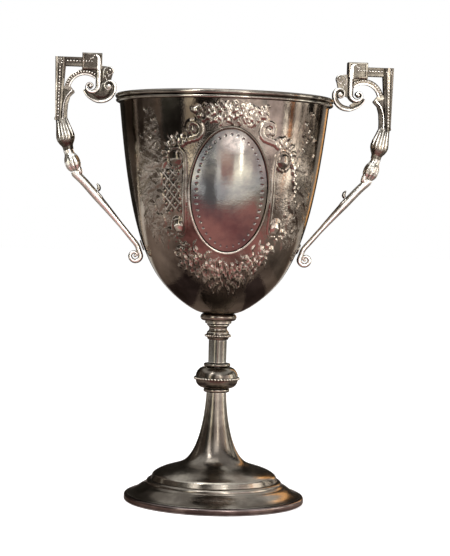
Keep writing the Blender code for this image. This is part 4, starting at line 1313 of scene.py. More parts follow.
@dataclass
class Chasing:
    """The ornament of the bowl: scrolls, flowers, leaves and lattice round an oval.

    Places are degrees round the front and millimetres of height.
    """

    relief: Relief
    degree: float
    seed: int = 7
    kept_plain: Point = (25.4, 38.6)
    diamond: Point = (7.1, 7.4)
    lattice_middle: Point = (-37.3, 197.3)

    def at(self, places: Sequence[Point]) -> Outline:
        """Places in degrees and millimetres as points in millimetres."""
        return [(angle * self.degree, level) for angle, level in places]

    def work(self) -> None:
        """Lays all the ornament, from the matted ground up."""
        self.ground()
        self.spray()
        for sign in (-1.0, 1.0):
            self.side_leaves(sign)
        self.lattice()
        for sign in (-1.0, 1.0):
            self.scrolls(sign)
        self.flower_drop()
        top = [(-21, 243), (-10, 244.5), (0, 246), (10, 244.5), (20, 243)]
        under = [(-18, 237), (-10, 234), (0, 235.5), (10, 234), (18, 238)]
        self.garland(top, under, 56, 2.1, 0.9)
        near = [(-29, 164), (-20, 158), (-10, 152.5), (0, 151.5), (10, 152.5), (20, 158), (31, 163)]
        far = [(-40, 153), (-26, 144), (-12, 140.5), (0, 141), (12, 140.5), (25, 146), (35, 156)]
        self.garland(near, far, 70, 2.55, 1.4)
        self.clear_oval()

    def ground(self) -> None:
        """The matted ground round the ornament."""
        x, level = np.abs(self.relief.angle / self.degree), self.relief.level
        patches = ((50.0, 13.5, 190.0, 36.0), (48.0, 7.0, 224.0, 21.0), (0.0, 26.0, 143.0, 23.0), (0.0, 40.0, 196.0, 52.0))
        sides, above, below, near = (np.hypot((x - a) / wide, (level - b) / tall) for a, wide, b, tall in patches)
        dark, soft = (np.clip((1.0 - gone) * 5.0, 0.0, 1.0) for gone in (np.minimum(np.minimum(sides, above), below), near))
        self.relief.matte[:] = np.maximum(dark * 0.9, soft * 0.2)

    def clear_oval(self) -> None:
        """Keeps the wall plain under the plate and its border."""
        relief = self.relief
        across, high = self.kept_plain
        keep = np.clip((np.hypot(relief.angle / across, (relief.level - OVAL_LEVEL) / high) - 1.0) * 30.0, 0.0, 1.0)
        relief.height *= keep
        relief.matte *= keep
        relief.wear[:] = PLAIN_WEAR + (relief.wear - PLAIN_WEAR) * keep

    def leaf(
        self, foot: Point, flow: float, long: float, wide: float, shine: float, sign: float, matte: float = 0.0
    ) -> None:
        """A curved leaf with a vein.

        Args:
            foot: Where it starts, in degrees and millimetres.
            flow: Its way, in degrees from outward.
            long: Its length.
            wide: Half its width.
            shine: How far it is rubbed.
            sign: Which side of the oval, -1 or 1.
            matte: How far it is matted.
        """
        way = Vector((math.cos(math.radians(flow)), math.sin(math.radians(flow))))
        start = Vector((foot[0] * self.degree, foot[1]))
        path = [start, start + (way + Vector((-way.y, way.x)) * 0.4) * 0.5 * long, start + way * long]
        line = [(sign * p.x, p.y) for p in path]
        widths = (0.4 * wide, wide, 0.75 * wide, 0.2)
        self.relief.stroke(line, widths, 0.15 + 0.2 * wide + shine, Cut.RIB, 12, shine, matte)
        self.relief.stroke(line, (0.2, 0.28, 0.15), 0.2, Cut.LINE, 12, 0.2 + 0.2 * matte)

    def scrolls(self, sign: float) -> None:
        """The C-scrolls that frame the oval on one side, with their bosses and leaf tufts.

        Args:
            sign: Which side, -1 or 1.
        """
        for angle, level, flow, long in (
            (25, 222, 50, 6.5), (27.5, 221, 62, 7.5), (30, 220.5, 72, 8.0), (33, 220, 66, 7.5), (35, 219, 45, 6.0),
            (35.5, 216, 10, 6.0), (35.5, 217.5, -12, 7.0), (36, 214.5, -30, 6.5), (37, 212, -55, 6.0),
            (38, 170, -5, 6.0), (37, 168, -30, 6.0), (35, 167, -60, 5.0),
        ):
            self.leaf((angle, level), flow, long, 1.35, 0.45 if level > 200 else 0.25, sign)
        eye, upper, lower = self.at([(21.0, 230.5), (31.8, 213.3), (33.0, 172.8)])
        top = spiral(eye, -120, 245, (1.6, 2.8, 4.0, 4.9, 5.2), 30)
        top += self.at([(25.0, 223.6), (28.5, 220.6), (33.5, 219.4)])
        frame_line = spiral(upper, -150, 180, (5.5, 5.7, 5.9, 6.0, 6.0), 30)
        frame_line += self.at([(26.1, 206), (26.9, 196), (27.4, 186), (27.9, 179)])
        frame_line += spiral(lower, 180, 505, (5.3, 5.2, 5.0, 4.7, 4.4), 30)
        for line, widths, rise, steps, shine in (
            (top, (0.8, 1.3, 1.7, 1.9, 1.9, 1.5, 0.7), 0.85, 64, 0.5),
            (frame_line, (0.6, 0.9, 1.2, 1.5, 1.5, 1.2, 0.9, 0.6), 0.75, 110, 0.45),
        ):
            self.relief.stroke([(sign * x, z) for x, z in line], widths, rise, Cut.SCROLL, steps, shine)
            if line is top:
                self.relief.dot((sign * eye[0], eye[1]), 1.5, 0.7)
        # Painted highlight: the lower boss gets a more rubbed, brighter crest than the upper one.
        for (x, z), radius, shine in ((upper, 4.5, 0.2), (lower, 3.9, 0.5)):
            self.relief.stroke([(sign * x + 0.01 * k, z) for k in (0, 1, 2)], (radius,), 1.5, Cut.RIB, 4, shine)

    def side_leaves(self, sign: float) -> None:
        """The soft leaves towards the handle on one side, with small raised tips among them whose bright crests are
        painted glints.

        Args:
            sign: Which side, -1 or 1.
        """
        rng = np.random.default_rng(self.seed + int(sign))
        for angle, level, flow in (
            (55, 176, -15), (56, 189, 10), (56, 202, 30), (50, 169, -25), (50, 182, -5), (50, 195, 20), (50, 208, 45),
            (49, 222, 80), (42, 166, -20), (43, 175, -10), (42, 186, 5), (43, 198, 20), (42, 209, 35), (45, 216, 70),
            (48, 232, 85),
        ):
            for turn in (50, -50, 25, -25, 0):
                long = rng.uniform(7.0, 10.0) * (0.62 if level > 212 else 1.0)
                self.leaf((angle, level), flow + turn, long, 0.2 * long, rng.uniform(0.0, 0.14), sign, 0.75)
        # Painted glints: small leaves at listed places, raised higher and given bright rubbed crests.
        for angle, level, flow, long in (
            (50, 241, 20, 3.5), (47.5, 236, 150, 3.5), (49, 231, 20, 4.0), (46.5, 229, 150, 3.5), (48, 225, 30, 4.0),
            (47.5, 220, 140, 3.5), (51, 228, 10, 3.0), (43, 210, 10, 3.5), (46, 196, 30, 4.5), (46, 188, 40, 3.0),
            (48, 179, 20, 3.0), (39, 181, -20, 2.5), (58, 216, 60, 3.0), (56, 226, 30, 3.5), (60, 202, 30, 4.0),
        ):
            self.leaf((angle, level), flow, long, 0.95, 0.6, sign)

    def lattice(self) -> None:
        """The trellis of diamonds with a bead in each, left of the oval."""
        relief = self.relief
        wide, tall = self.diamond
        middle = self.at([self.lattice_middle])[0]
        x, level = relief.angle, relief.level
        right = (-32.3 + (206.0 - level) * 0.12) * self.degree
        where = np.nonzero((x > -41.5 * self.degree) & (x < right) & (level > 181.0) & (level < 207.0))[0]
        u, v = (x[where] - middle[0]) / wide, (level[where] - middle[1]) / tall
        gone = np.minimum(*[np.abs((s - 0.5) - np.round(s - 0.5)) for s in (u + v, u - v)]) * 5.1
        line = np.clip(1.0 - (gone / 0.62) ** 2, 0.0, 1.0)
        relief.height[where] = 0.22 * line
        relief.wear[where] = 0.04 + 0.72 * line
        relief.matte[where] = 0.0
        for row in range(-4, 4):
            for column in (-1.0, 0.0, 1.0):
                place = (middle[0] + wide * (column + 0.5 * (row % 2)), middle[1] + row * tall / 2)
                if -42.0 * self.degree < place[0] < -29.5 * self.degree and 181.5 < place[1] < 207.0:
                    relief.dot(place, 0.95, 0.7)

    def flower_drop(self) -> None:
        """The drop of flowers and leaves right of the oval."""
        stem = self.at([(38, 214), (40.5, 209), (42, 203), (43.5, 198), (44.6, 192.5)])
        self.relief.stroke(stem, (1.0, 0.8, 0.6, 0.5, 0.3), 0.6, Cut.RIB, 30, 0.5)
        for index, (x, level) in enumerate(resampled(stem, 9)[1:]):
            place = (x + (0.7 if index % 2 else -0.7), level)
            self.relief.flower(place, 2.2 - 0.12 * index, 5, 1.2, index * 0.7, 0.7)

    def garland(self, near: Outline, far: Outline, count: int, size: float, rise: float) -> None:
        """Flowers and leaves massed between two curves.

        Args:
            near: The curve on one side, in degrees and millimetres.
            far: The curve on the other side.
            count: Number of flowers.
            size: Radius of a middling flower.
            rise: Height of its petals.
        """
        rng = np.random.default_rng(self.seed)
        first, last = (np.array(resampled(self.at(line), count)) for line in (near, far))
        across = [(0.5 + 0.618 * index) % 1.0 for index in range(count)]
        spots = [a * (1 - share) + b * share + rng.uniform(-0.6, 0.6, 2) for a, b, share in zip(first, last, across)]
        for spot in spots:
            angle = rng.uniform(0.0, math.tau)
            way = np.array([math.cos(angle), math.sin(angle)]) * 2.2 * size
            side = np.array([-way[1], way[0]]) * 0.25
            line = [tuple(spot), tuple(spot + way * 0.5 + side), tuple(spot + way)]
            self.relief.stroke(line, (0.4, 1.0, 0.8, 0.2), 0.6 * rise, Cut.RIB, 10, rng.uniform(0.0, 0.4), 0.4)
        for k, (spot, share) in enumerate(zip(spots, across)):
            # Painted highlight: flowers towards the middle of each garland are made brighter, on top of their random
            # rubbing. Flowers towards the far curve are dimmer.
            full = math.sin(math.pi * (k + 0.5) / count) ** 0.5
            bright = rng.uniform(0.25, 1.15) * (0.4 + 0.6 * full) * (1.0 - 0.4 * share)
            radius = size * rng.uniform(0.55, 1.1) * (1.0 - 0.25 * share)
            self.relief.flower(tuple(spot), radius, int(rng.integers(4, 7)), rise, rng.uniform(0.0, 3.0), bright)

    def spray(self) -> None:
        """The spread of leaves under the garland, down to the plain foot of the bowl."""
        self.relief.stroke(self.at([(0, 147), (0, 138), (0, 130)]), (1.0, 0.9, 0.4), 0.5, Cut.SCROLL, 20, 0.15)
        for sign in (-1.0, 1.0):
            for angle, level, flow, long in (
                (4, 146, -8, 24.0), (3, 143, -20, 20.0), (2, 140, -35, 15.0), (1, 138, -55, 10.0), (14, 143, -40, 8.0),
                (20, 145, -30, 8.0), (9, 139, -60, 7.0), (27, 152, -20, 9.0), (30, 158, 0, 9.0),
            ):
                self.leaf((angle, level), flow, long, 1.2 + 0.04 * long, 0.42, sign, 1.0)
            # Painted glints: small raised leaves with bright rubbed crests.
            for angle, level, flow in ((13, 136, 10), (22, 142, 0), (10, 132.5, 10), (18, 138, 20)):
                self.leaf((angle, level), flow, 2.6, 1.0, 0.6, sign)


# Cross-sections of the handles: across, depth and wear, each a share of the half sizes


def faced_section(face: Sequence[Spot]) -> Section:
    """A closed cross-section with the same moulded face, from edge to edge, in front and behind."""
    return [(x, -y, w) for x, y, w in face] + [(x, y, w) for x, y, w in reversed(face)]


def even_face(half: Sequence[Spot]) -> Sequence[Spot]:
    """A moulded face that is the same on both sides, from its points up to the middle."""
    return [*half, *[(-x, y, w) for x, y, w in reversed(half) if x]]


def round_section(low: float, points: int = 20) -> Section:
    """A round cross-section, lightest in front and behind and darker towards the given wear at its sides; on the arm
    these darker sides are painted shade.
    """
    angles = [math.tau * k / points for k in range(points)]
    return [(math.cos(a), math.sin(a), max(low + (0.9 - low) * abs(math.sin(a)), 0.0)) for a in angles]


def lobed(lobes: int, bite: float, turn: float = 0.0) -> Section:
    """A round cross-section pinched into lobes, worn on their crowns.

    Args:
        lobes: Number of lobes.
        bite: Depth of the pinches.
        turn: Angle that the lobes are turned by, in radians times their number.

    Returns:
        The closed cross-section.
    """
    result = []
    for angle in (math.tau * k / (lobes * 6) for k in range(lobes * 6)):
        crown = 0.5 + 0.5 * math.cos(lobes * angle + turn)
        worn = 0.45 + min(bite * 6.0, 1.0) * (0.75 * crown**1.2 - 0.38)
        result.append((*around((0.0, 0.0), 1.0 - bite * (1.0 - crown**0.6), angle), worn))
    return result


def veined(share: float) -> Section:
    """Cross-section of the long leaf, whose rib wanders across it.

    Args:
        share: How far down the leaf.

    Returns:
        The closed cross-section.
    """
    rib = -0.55 + 1.1 * min(share / 0.55, 1.0) - 0.35 * max(share - 0.55, 0.0)
    face = []
    for x in sorted([-1.0, -0.88, 0.9, 1.0] + [rib + step for step in (-0.42, -0.26, -0.1, 0.1, 0.26, 0.42)]):
        x = min(max(x, -1.0), 1.0)
        near = abs(x - rib)
        rise, worn = (1.0, 1.0) if near < 0.15 else (0.72, 0.0) if near < 0.3 else (0.66, 0.34)
        edge = 0.6 if abs(x) > 0.95 else 0.82 if abs(x) > 0.85 else 1.0
        face.append((x, min(rise, edge), worn))
    return faced_section(face)


def folds(share: float) -> Section:
    """Cross-section of the husk at a share of its length: seven folds that end above its neck."""
    return lobed(7, 0.1 * max(1.0 - share / 0.84, 0.0) ** 0.35, 2.4 * share)


def tips(share: float) -> Section:
    """Cross-section of the bud at a share of its length: a round neck, then eight tips that deepen."""
    return lobed(8, 0.06 + 0.2 * ((share - 0.2) / 0.8) ** 1.5, 0.4) if share >= 0.2 else lobed(8, 0.0)


CENTRE_BAND = faced_section([
    (-1.0, 0.5, 0.35), (-0.92, 0.7, 0.4), (-0.78, 0.72, 0.2), (-0.66, 0.66, 0.05), (-0.52, 0.94, 0.8),
    (-0.22, 1.0, 0.95), (0.22, 1.0, 0.95), (0.5, 0.94, 0.8), (0.6, 0.62, 0.0), (0.72, 0.6, 0.05),
    (0.92, 0.66, 0.35), (1.0, 0.5, 0.3),
])
RAISED_BAND = faced_section(even_face([(-1.0, 0.84, 0.1), (-0.8, 0.98, 0.85), (0.0, 1.0, 1.0)]))
FROND = faced_section(even_face([(-1.0, 0.9, 0.2), (-0.6, 0.97, 0.7), (0.0, 1.0, 1.0)]))
EDGE_BAND = faced_section([
    (-1.0, 0.5, 0.3), (-0.85, 0.7, 0.2), (-0.5, 0.62, 0.0), (-0.1, 0.66, 0.05), (0.05, 0.9, 0.8), (0.35, 1.0, 1.0),
    (0.7, 0.97, 1.0), (0.92, 0.8, 0.8), (1.0, 0.5, 0.6),
])
OUTER_MOULD = faced_section([
    (-1.0, 0.66, 0.15), (-0.9, 0.76, 0.2), (-0.4, 0.84, 0.1), (-0.3, 0.78, 0.0), (-0.2, 0.9, 0.35),
    (0.3, 0.9, 0.35), (0.4, 0.8, 0.0), (0.5, 0.86, 0.35), (0.92, 0.9, 0.45), (1.0, 0.82, 0.2),
])
TOP_MOULD = faced_section([
    (-1.0, 0.8, 0.2), (-0.92, 0.9, 0.25), (-0.35, 0.88, 0.15), (-0.27, 0.76, 0.0), (0.36, 0.76, 0.0),
    (0.44, 0.92, 0.15), (0.9, 0.96, 0.1), (1.0, 0.86, 0.2),
])
ARCH_MOULD = faced_section([
    (-1.0, 0.7, 0.8), (-0.9, 0.95, 1.0), (-0.5, 0.98, 1.0), (-0.4, 0.72, 0.1), (0.72, 0.72, 0.0), (0.8, 0.86, 0.4),
    (1.0, 0.8, 0.6),
])
PANEL_FACE = even_face([(-1.0, 0.9, 0.5), (-0.93, 1.0, 0.6), (-0.8, 1.0, 0.5), (-0.72, 0.86, 0.05)])
PANEL = faced_section(PANEL_FACE)
PANEL_RIM = faced_section([(x, min(y + 0.14, 1.0) if abs(x) < 0.8 else y, 0.5) for x, y, _ in PANEL_FACE])


# The handles


def web(outline: Outline, half: float, wear: float = 0.08) -> Piece:
    """A thin web between the bars of a casting, with half its thickness given."""
    rings = [[(x, y, z) for x, z in outline] for y in (-half, half)]
    return drawn("web", rings, [[wear] * len(outline)] * 2, 30.0)


@dataclass
class Handle:
    """One handle at +X and its mirror image: an angular scrolled head over a husk, a bud and a plain arm."""

    bowl: Bowl
    rim_top: float = 254.0
    depth: float = 6.4
    plaque_depth: float = 8.0
    bar_height: float = 5.6
    leaf_depth: float = 4.8
    c_radius: float = 7.85
    c_width: float = 3.3
    c_volute: float = 3.2
    scroll_radius: float = 4.9
    scroll_width: float = 3.8
    arch_radius: float = 12.6
    volute_radius: float = 2.9
    volute_width: float = 1.6
    outer_width: float = 6.6
    outer_foot: float = 3.4
    outer_lean: float = 0.9
    leaf_foot: float = 3.4
    arm_top: float = 2.6
    arm_radius: float = 1.7
    arm_volute: float = 3.5
    arm_lean: Point = (-4.4, -12.4)
    arm_drop: float = 94.2
    pad: Point = (2.8, 3.2)

    def __post_init__(self) -> None:
        """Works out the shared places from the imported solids."""
        self.plaque = extent("right_plaque")
        _, self.corner, self.foot_z, self.bar_top = extent("right_outer_bar")
        self.neck_x = self.corner - self.outer_lean - (self.outer_foot + self.leaf_foot) / 2
        self.bar_x = self.plaque[0] + self.scroll_width / 2
        self.bar_edge = self.plaque[0] + self.scroll_width - 0.2
        self.scroll_eye = (self.bar_x + self.scroll_radius, self.rim_top + 3.7)
        self.c_centre = (self.scroll_eye[0] - 6.6, self.rim_top + 3.2)
        self.place_arm()

    def place_arm(self) -> None:
        """Works out the top of the arm, its end on the bowl, the way along the wall there and the way inward."""
        lean = Vector(self.arm_lean)
        neck = Vector((self.neck_x - 4.6, self.foot_z - GAP - 17.6))
        self.arm_start = neck + lean + lean.normalized() * 4 * GAP
        level, reach = self.rim_top - self.arm_drop, 6.4
        slope = (self.bowl.radius_at(level + reach) - self.bowl.radius_at(level - reach)) / (2 * reach)
        x = self.bowl.radius_at(level) + 2 * GAP + 0.8 + self.arm_radius + slope * self.arm_radius
        self.arm_end = Vector((x, level))
        self.wall_way = Vector((slope, 1.0))
        down = self.arm_end - self.arm_start
        self.inward = Vector((down.y, -down.x)).normalized()

    def on_arm(self, share: float) -> Vector:
        """A point on the middle line of the arm, which bends a little inward."""
        return self.arm_start.lerp(self.arm_end, share) + self.inward * 0.5 * math.sin(math.pi * share)

    def inner_edge(self, level: float) -> float:
        """X of the inner edge of the outer bar at a height."""
        foot, joint = self.corner - self.outer_lean - self.outer_foot, self.corner - self.outer_width
        return float(np.interp(level, (self.foot_z, self.bar_top - self.bar_height), (foot, joint)))

    def outer_edge(self, level: float) -> float:
        """X of the outer edge of the outer bar at a height."""
        return self.corner - self.outer_lean / (self.bar_top - self.foot_z) * (self.bar_top - level)

    def build(self) -> None:
        """Builds the right handle piece by piece, copies each to the left, and dresses both."""
        makers = {
            "plaque": (self.make_plaque, PLATE_CAST),
            "top_bar": (self.make_top_bar, PLATE_CAST),
            "outer_bar": (self.make_outer_bar, PLATE_CAST),
            "arch": (self.make_arch, PLATE_ARCH),
            "leaf": (self.make_leaf, PLATE_CAST),
            "scroll": (self.make_scroll, PLATE_CAST),
            "c_scroll": (self.make_c_scroll, PLATE_CAST),
            "upper_volute": (self.make_upper_volute, PLATE_CAST),
            "husk": (self.make_husk, PLATE_CAST),
            "bud": (self.make_bud, PLATE_ARM_PAINTED_HIGHLIGHT),
            "arm": (self.make_arm, PLATE_ARM_PAINTED_HIGHLIGHT),
            "spur": (self.make_spur, PLATE_ARCH),
            "pad": (self.make_pad, PLATE_BODY),
        }
        for node, (make, finish) in makers.items():
            right = make("right_cast_" + node)
            left = mirrored(right, "left_cast_" + node)
            if node == "c_scroll":
                left = joined([left, self.make_bulb()])
            dressed(right, finish, "right_" + node)
            dressed(left, finish, "left_" + node)

    def make_plaque(self, name: str) -> Piece:
        """The square corner block, with a sunk panel and the raised end of the scroll on each face.

        Args:
            name: Name of the piece.

        Returns:
            The piece.
        """
        left, right, bottom, top = self.plaque
        levels = [bottom + step for step in (0.0, 0.4, 1.1, 1.5)] + [top - step for step in (1.5, 1.1, 0.4, 0.0)]
        edges = tuple([(x, z) for z in levels] for x in (left, right))
        depths = [self.plaque_depth * share for share in (0.93, 1, 1, 1, 1, 1, 1, 0.93)]
        parts = [ribbon(name, edges, depths, lambda share: PANEL if 0.35 < share < 0.65 else PANEL_RIM)]
        lane = self.bar_x + 0.2
        path = resampled([(lane, bottom - 0.2), (lane, top - 5.0), (lane + 0.3, top - 2.6), (lane + 1.8, top - 1.4)], 14)
        edges = band_edges(path, blend((2.3, 2.4, 2.5, 2.0, 0.9), 15))
        parts.append(ribbon("band", edges, self.plaque_depth + 1.1, RAISED_BAND))
        deep = self.plaque_depth / 2 + 0.7
        for x, z, long, turn in ((3.9, -3.2, 1.5, -1.1), (5.1, -3.6, 1.3, -1.3), (3.0, -1.7, 1.2, 0.3)):
            parts.append(ball((self.bar_x + x, top + z), (long, deep, 0.75), turn))
        parts += [ball((right - 0.9 - 1.75 * index, bottom + 4.9), (0.9, deep, 0.9)) for index in range(4)]
        return joined(parts)

    def make_top_bar(self, name: str) -> Piece:
        """The level bar, with a row of long beads in its sunk middle.

        Args:
            name: Name of the piece.

        Returns:
            The piece.
        """
        left, right, bottom, top = extent("right_top_bar")
        xs = blend((left - GAP, right + GAP), 7)
        parts = [ribbon(name, tuple([(x, z) for x in xs] for z in (bottom, top)), self.depth, TOP_MOULD)]
        for x in (xs[0] + 1.3 + 1.9 * index for index in range(5)):
            parts.append(ball((x, bottom + 0.55 * (top - bottom)), (1.0, self.depth / 2 + 0.5, 0.95)))
        return joined(parts)

    def make_outer_bar(self, name: str) -> Piece:
        """The long outer bar, with a raised strip down its face, a leaf at its corner and a pointed foot.

        Args:
            name: Name of the piece.

        Returns:
            The piece.
        """
        levels, half = blend((self.bar_top, self.foot_z), 31), self.depth / 2
        edges = tuple([(side(z), z) for z in levels] for side in (self.inner_edge, self.outer_edge))
        parts = [ribbon(name, edges, self.depth, OUTER_MOULD)]
        flower = (self.corner - 3.0, self.bar_top - 2.9)
        for angle in (math.tau * index / 7 + 0.3 for index in range(7)):
            parts.append(ball(around(flower, 1.55, angle), (0.95, half + 0.6, 0.62), angle))
        parts.append(ball(flower, (0.6, half + 0.15, 0.6), 0.0, 0.1))
        for index in range(16):
            level = self.bar_top - 6.6 - 2.0 * index
            left, right = self.inner_edge(level), self.outer_edge(level)
            size = (0.8 + 0.25 * (index % 2), half + 0.4, 1.05)
            parts.append(ball((left + (right - left) * 0.54, level), size, 0.3 * (index % 3) - 0.3))
        parts.append(ball((self.corner - 1.1, self.foot_z + 1.5), (0.75, 1.6, 1.5), 0.4, 0.6))
        return joined(parts)

    def make_arch(self, name: str) -> Piece:
        """The quarter arch, with a plain strip along its inside and gadroons along its outside.

        Args:
            name: Name of the piece.

        Returns:
            The piece.
        """
        start, end = math.radians(12.0), math.radians(127.0)
        level = self.rim_top + 1.2
        end_z = level + self.arch_radius * math.sin(start)
        centre = (self.inner_edge(end_z) - GAP - self.arch_radius, level)
        inner = arc(centre, 9.3, start - 0.03, end + 0.04, 40)
        outer = arc(centre, 12.75, start - 0.03, end + 0.02, 40)
        low, edge, leaf_top = self.plaque[2] + 0.3, self.inner_edge(end_z) + 0.1, end_z - 0.6
        fill = [(self.bar_edge, low), (self.bar_edge, level + 9.6)]
        fill += arc(centre, 12.0, end, math.radians(84), 12) + [(centre[0] + 1.0, low)]
        joint = [around(centre, reach, start + 0.04) for reach in (12.7, 9.4)]
        joint += [(edge - 6.2, leaf_top - 2.6), (edge - 5.9, leaf_top - 3.6), (edge, leaf_top - 1.4)]
        parts = [ribbon(name, (inner, outer), self.leaf_depth, ARCH_MOULD), web(fill, 1.7), web(joint, 2.05, 0.34)]
        for angle in (start + (end - start) * (index + 0.6) / 13.4 for index in range(13)):
            parts.append(ball(around(centre, 11.55, angle), (1.45, self.leaf_depth / 2 + 0.3, 0.78), angle))
        return joined(parts)

    def make_leaf(self, name: str) -> Piece:
        """The long leaf inside the outer bar, with a curved rib from its tip down to the husk.

        Args:
            name: Name of the piece.

        Returns:
            The piece.
        """
        _, _, foot, top = extent("right_leaf")
        shares = blend((0.0, 1.0), 37)
        reach = np.interp(shares, (0.0, 0.08, 0.14, 0.3, 0.5, 0.74, 1.0), (6.5, 6.9, 6.2, 4.5, 3.6, 3.6, 4.0))
        left, right = [], []
        for share, wide in zip(shares, reach):
            level = top - share * (top - foot + GAP)
            edge = self.inner_edge(level) + 0.05
            left.append((edge - float(wide), level - 2.6 * max(1.0 - share / 0.3, 0.0)))
            right.append((edge, level))
        return ribbon(name, (left, right), self.leaf_depth, veined)

    def make_scroll(self, name: str) -> Piece:
        """The inner bar that runs down from the plaque and curls up round its eye.

        Args:
            name: Name of the piece.

        Returns:
            The piece.
        """
        eye, start = self.scroll_eye, self.plaque[2] - GAP
        curl = spiral(eye, 180, 540, [self.scroll_radius * share for share in (1.0, 0.71, 0.5, 0.36, 0.22)], 56)
        straight = [(self.bar_x, start), (self.bar_x, start - (start - eye[1]) * 0.5)]
        widths = [self.scroll_width * share for share in [1.0, 1.0] + blend((1.0, 0.63, 0.4, 0.35, 0.32), len(curl))]
        bar = ribbon(name, band_edges(straight + curl, widths), self.depth, CENTRE_BAND)
        return joined([bar, ball((eye[0] + 0.1, eye[1]), (1.5, self.depth / 2 + 0.5, 1.7))])

    def make_c_scroll(self, name: str) -> Piece:
        """The C-scroll that stands on the rim: it opens round the inner curl, and ends in a volute with a ball.

        Args:
            name: Name of the piece.

        Returns:
            The piece.
        """
        centre = self.c_centre
        big = spiral(centre, 350, 180, [self.c_radius + more for more in (2.9, 1.1, 0.2, 0.0, 0.0)], 44)
        eye = (centre[0] - self.c_radius + self.c_volute, centre[1] + 0.7)
        small = spiral(eye, 180, -180, [self.c_volute * share for share in (1.0, 0.94, 0.69, 0.5, 0.28)], 44)[1:]
        shares = blend((0.4, 1.0, 1.0), len(big)) + blend((1.0, 0.7, 0.55, 0.5, 0.45), len(small) + 1)[1:]
        left, right = band_edges(big + small, [self.c_width * share for share in shares])
        x, z = self.scroll_eye
        fill = [(x + 3.2, z - 1.2), (x + 1.8, z - 3.3), (x - 0.4, z - 4.3), (x - 2.6, z - 4.7), (x - 4.8, z - 6.2)]
        fill += spiral(centre, 287, 347, (8.4, 8.9, 9.6, 10.6), 12)
        bar = ribbon(name, (right, left), self.depth, EDGE_BAND)
        return joined([bar, ball(eye, (2.1, self.depth / 2 + 0.5, 2.1)), web(fill, 1.9)])

    def make_bulb(self) -> Piece:
        """The swelling that fills the left C-scroll behind its volute.

        Returns:
            The piece.
        """
        x, z = self.c_centre
        edge = self.plaque[0] + 0.3
        outline = arc((x, z), 7.7, math.radians(165), math.radians(330), 26)
        outline += [(edge + 2.0, z - 3.4), (edge, z + 4.0), (edge - 3.4, z + 4.0)]
        middle = Vector((x + 0.5, z - 2.5))
        rings = []
        for y, share in ((-2.9, 0.5), (-2.5, 0.82), (-1.2, 1.0), (1.2, 1.0), (2.5, 0.82), (2.9, 0.5)):
            spots = [middle.lerp(Vector(point), share) for point in outline]
            rings.append([(-spot.x, y, spot.y) for spot in spots])
        return drawn("bulb", rings, [[0.12] * len(outline)] * 6, 70.0)

    def make_upper_volute(self, name: str) -> Piece:
        """The small volute beside the plaque, filled up to the bar, with two balls in its hollow.

        Args:
            name: Name of the piece.

        Returns:
            The piece.
        """
        radius, width = self.volute_radius, self.volute_width
        x, z = extent("right_upper_volute")[1] - radius - width / 2 - 0.4, self.rim_top + 13.0
        curl = spiral((x, z), 0, 360, [radius * share for share in (1.0, 0.9, 0.75, 0.5, 0.31)], 44)
        path = [(x + radius, z - 4.0), (x + radius, z - 2.0)] + curl
        edges = band_edges(path, [width * share for share in blend((1.0, 1.0, 0.9, 0.8, 0.75), len(path))])
        edge = self.plaque[0] + 0.2
        fill = [(edge, z + 3.4), (x + 1.4, z + 3.2), (x - 1.6, z + 1.6), (x - 2.4, z - 1.0), (x - 1.7, z - 3.9)]
        fill += [(x - 1.0, z - 6.2), (x + 0.6, z - 8.6), (edge, z - 10.8)]
        parts = [ribbon(name, edges, self.leaf_depth, EDGE_BAND), web(fill, 1.8)]
        balls = ((-0.7, 1.0, 1.3, 0.95), (0.0, -2.6, 1.1, 0.9), (1.6, -4.8, 1.5, 0.5), (2.3, -3.2, 1.4, 0.5))
        for across, up, long, wide in balls:
            parts.append(ball((x + across, z + up), (long, self.leaf_depth / 2 + 0.3, wide), 1.3, 0.95))
        return joined(parts)

    def make_husk(self, name: str) -> Piece:
        """The husk that gathers the bar and the leaf: long fronds above, a plain neck below.

        Args:
            name: Name of the piece.

        Returns:
            The piece.
        """
        top, drop = Vector((self.neck_x - 0.2, extent("right_husk")[3] + 1.6)), Vector((-5.0, -19.4))
        shares = (0.0, 0.1, 0.3, 0.45, 0.58, 0.68, 0.78, 0.85, 0.9, 1.0)
        path = resampled([tuple(top + drop * share) for share in shares], 40)
        along = [(z - top.y) / drop.y for _, z in path]
        radii = np.interp(along, shares, (3.7, 4.0, 4.8, 5.5, 5.9, 5.6, 4.7, 3.7, 3.3, 3.2))
        deep = [float(d) for d in np.interp(along, shares, (2.5, 3.0, 3.9, 4.6, 5.0, 4.9, 4.2, 3.4, 3.1, 3.0))]
        left, right = band_edges(path, [2 * float(radius) for radius in radii])
        parts = [ribbon(name, (left, right), [2 * d for d in deep], folds, 60.0)]
        for out, first, last in ((-0.78, 2, 27), (-0.45, 5, 31), (-0.1, 0, 32), (0.25, 3, 31), (0.6, 1, 28)):
            steps = range(first, last)
            line = [tuple(Vector(left[i]).lerp(Vector(right[i]), 0.5 - 0.5 * out)) for i in steps]
            depths = [2 * (deep[i] * math.sqrt(1.0 - out * out) + 0.35) for i in steps]
            parts.append(ribbon("frond", band_edges(line, blend((0.3, 1.3, 1.7, 0.4), len(line))), depths, FROND, 50.0))
        return joined(parts)

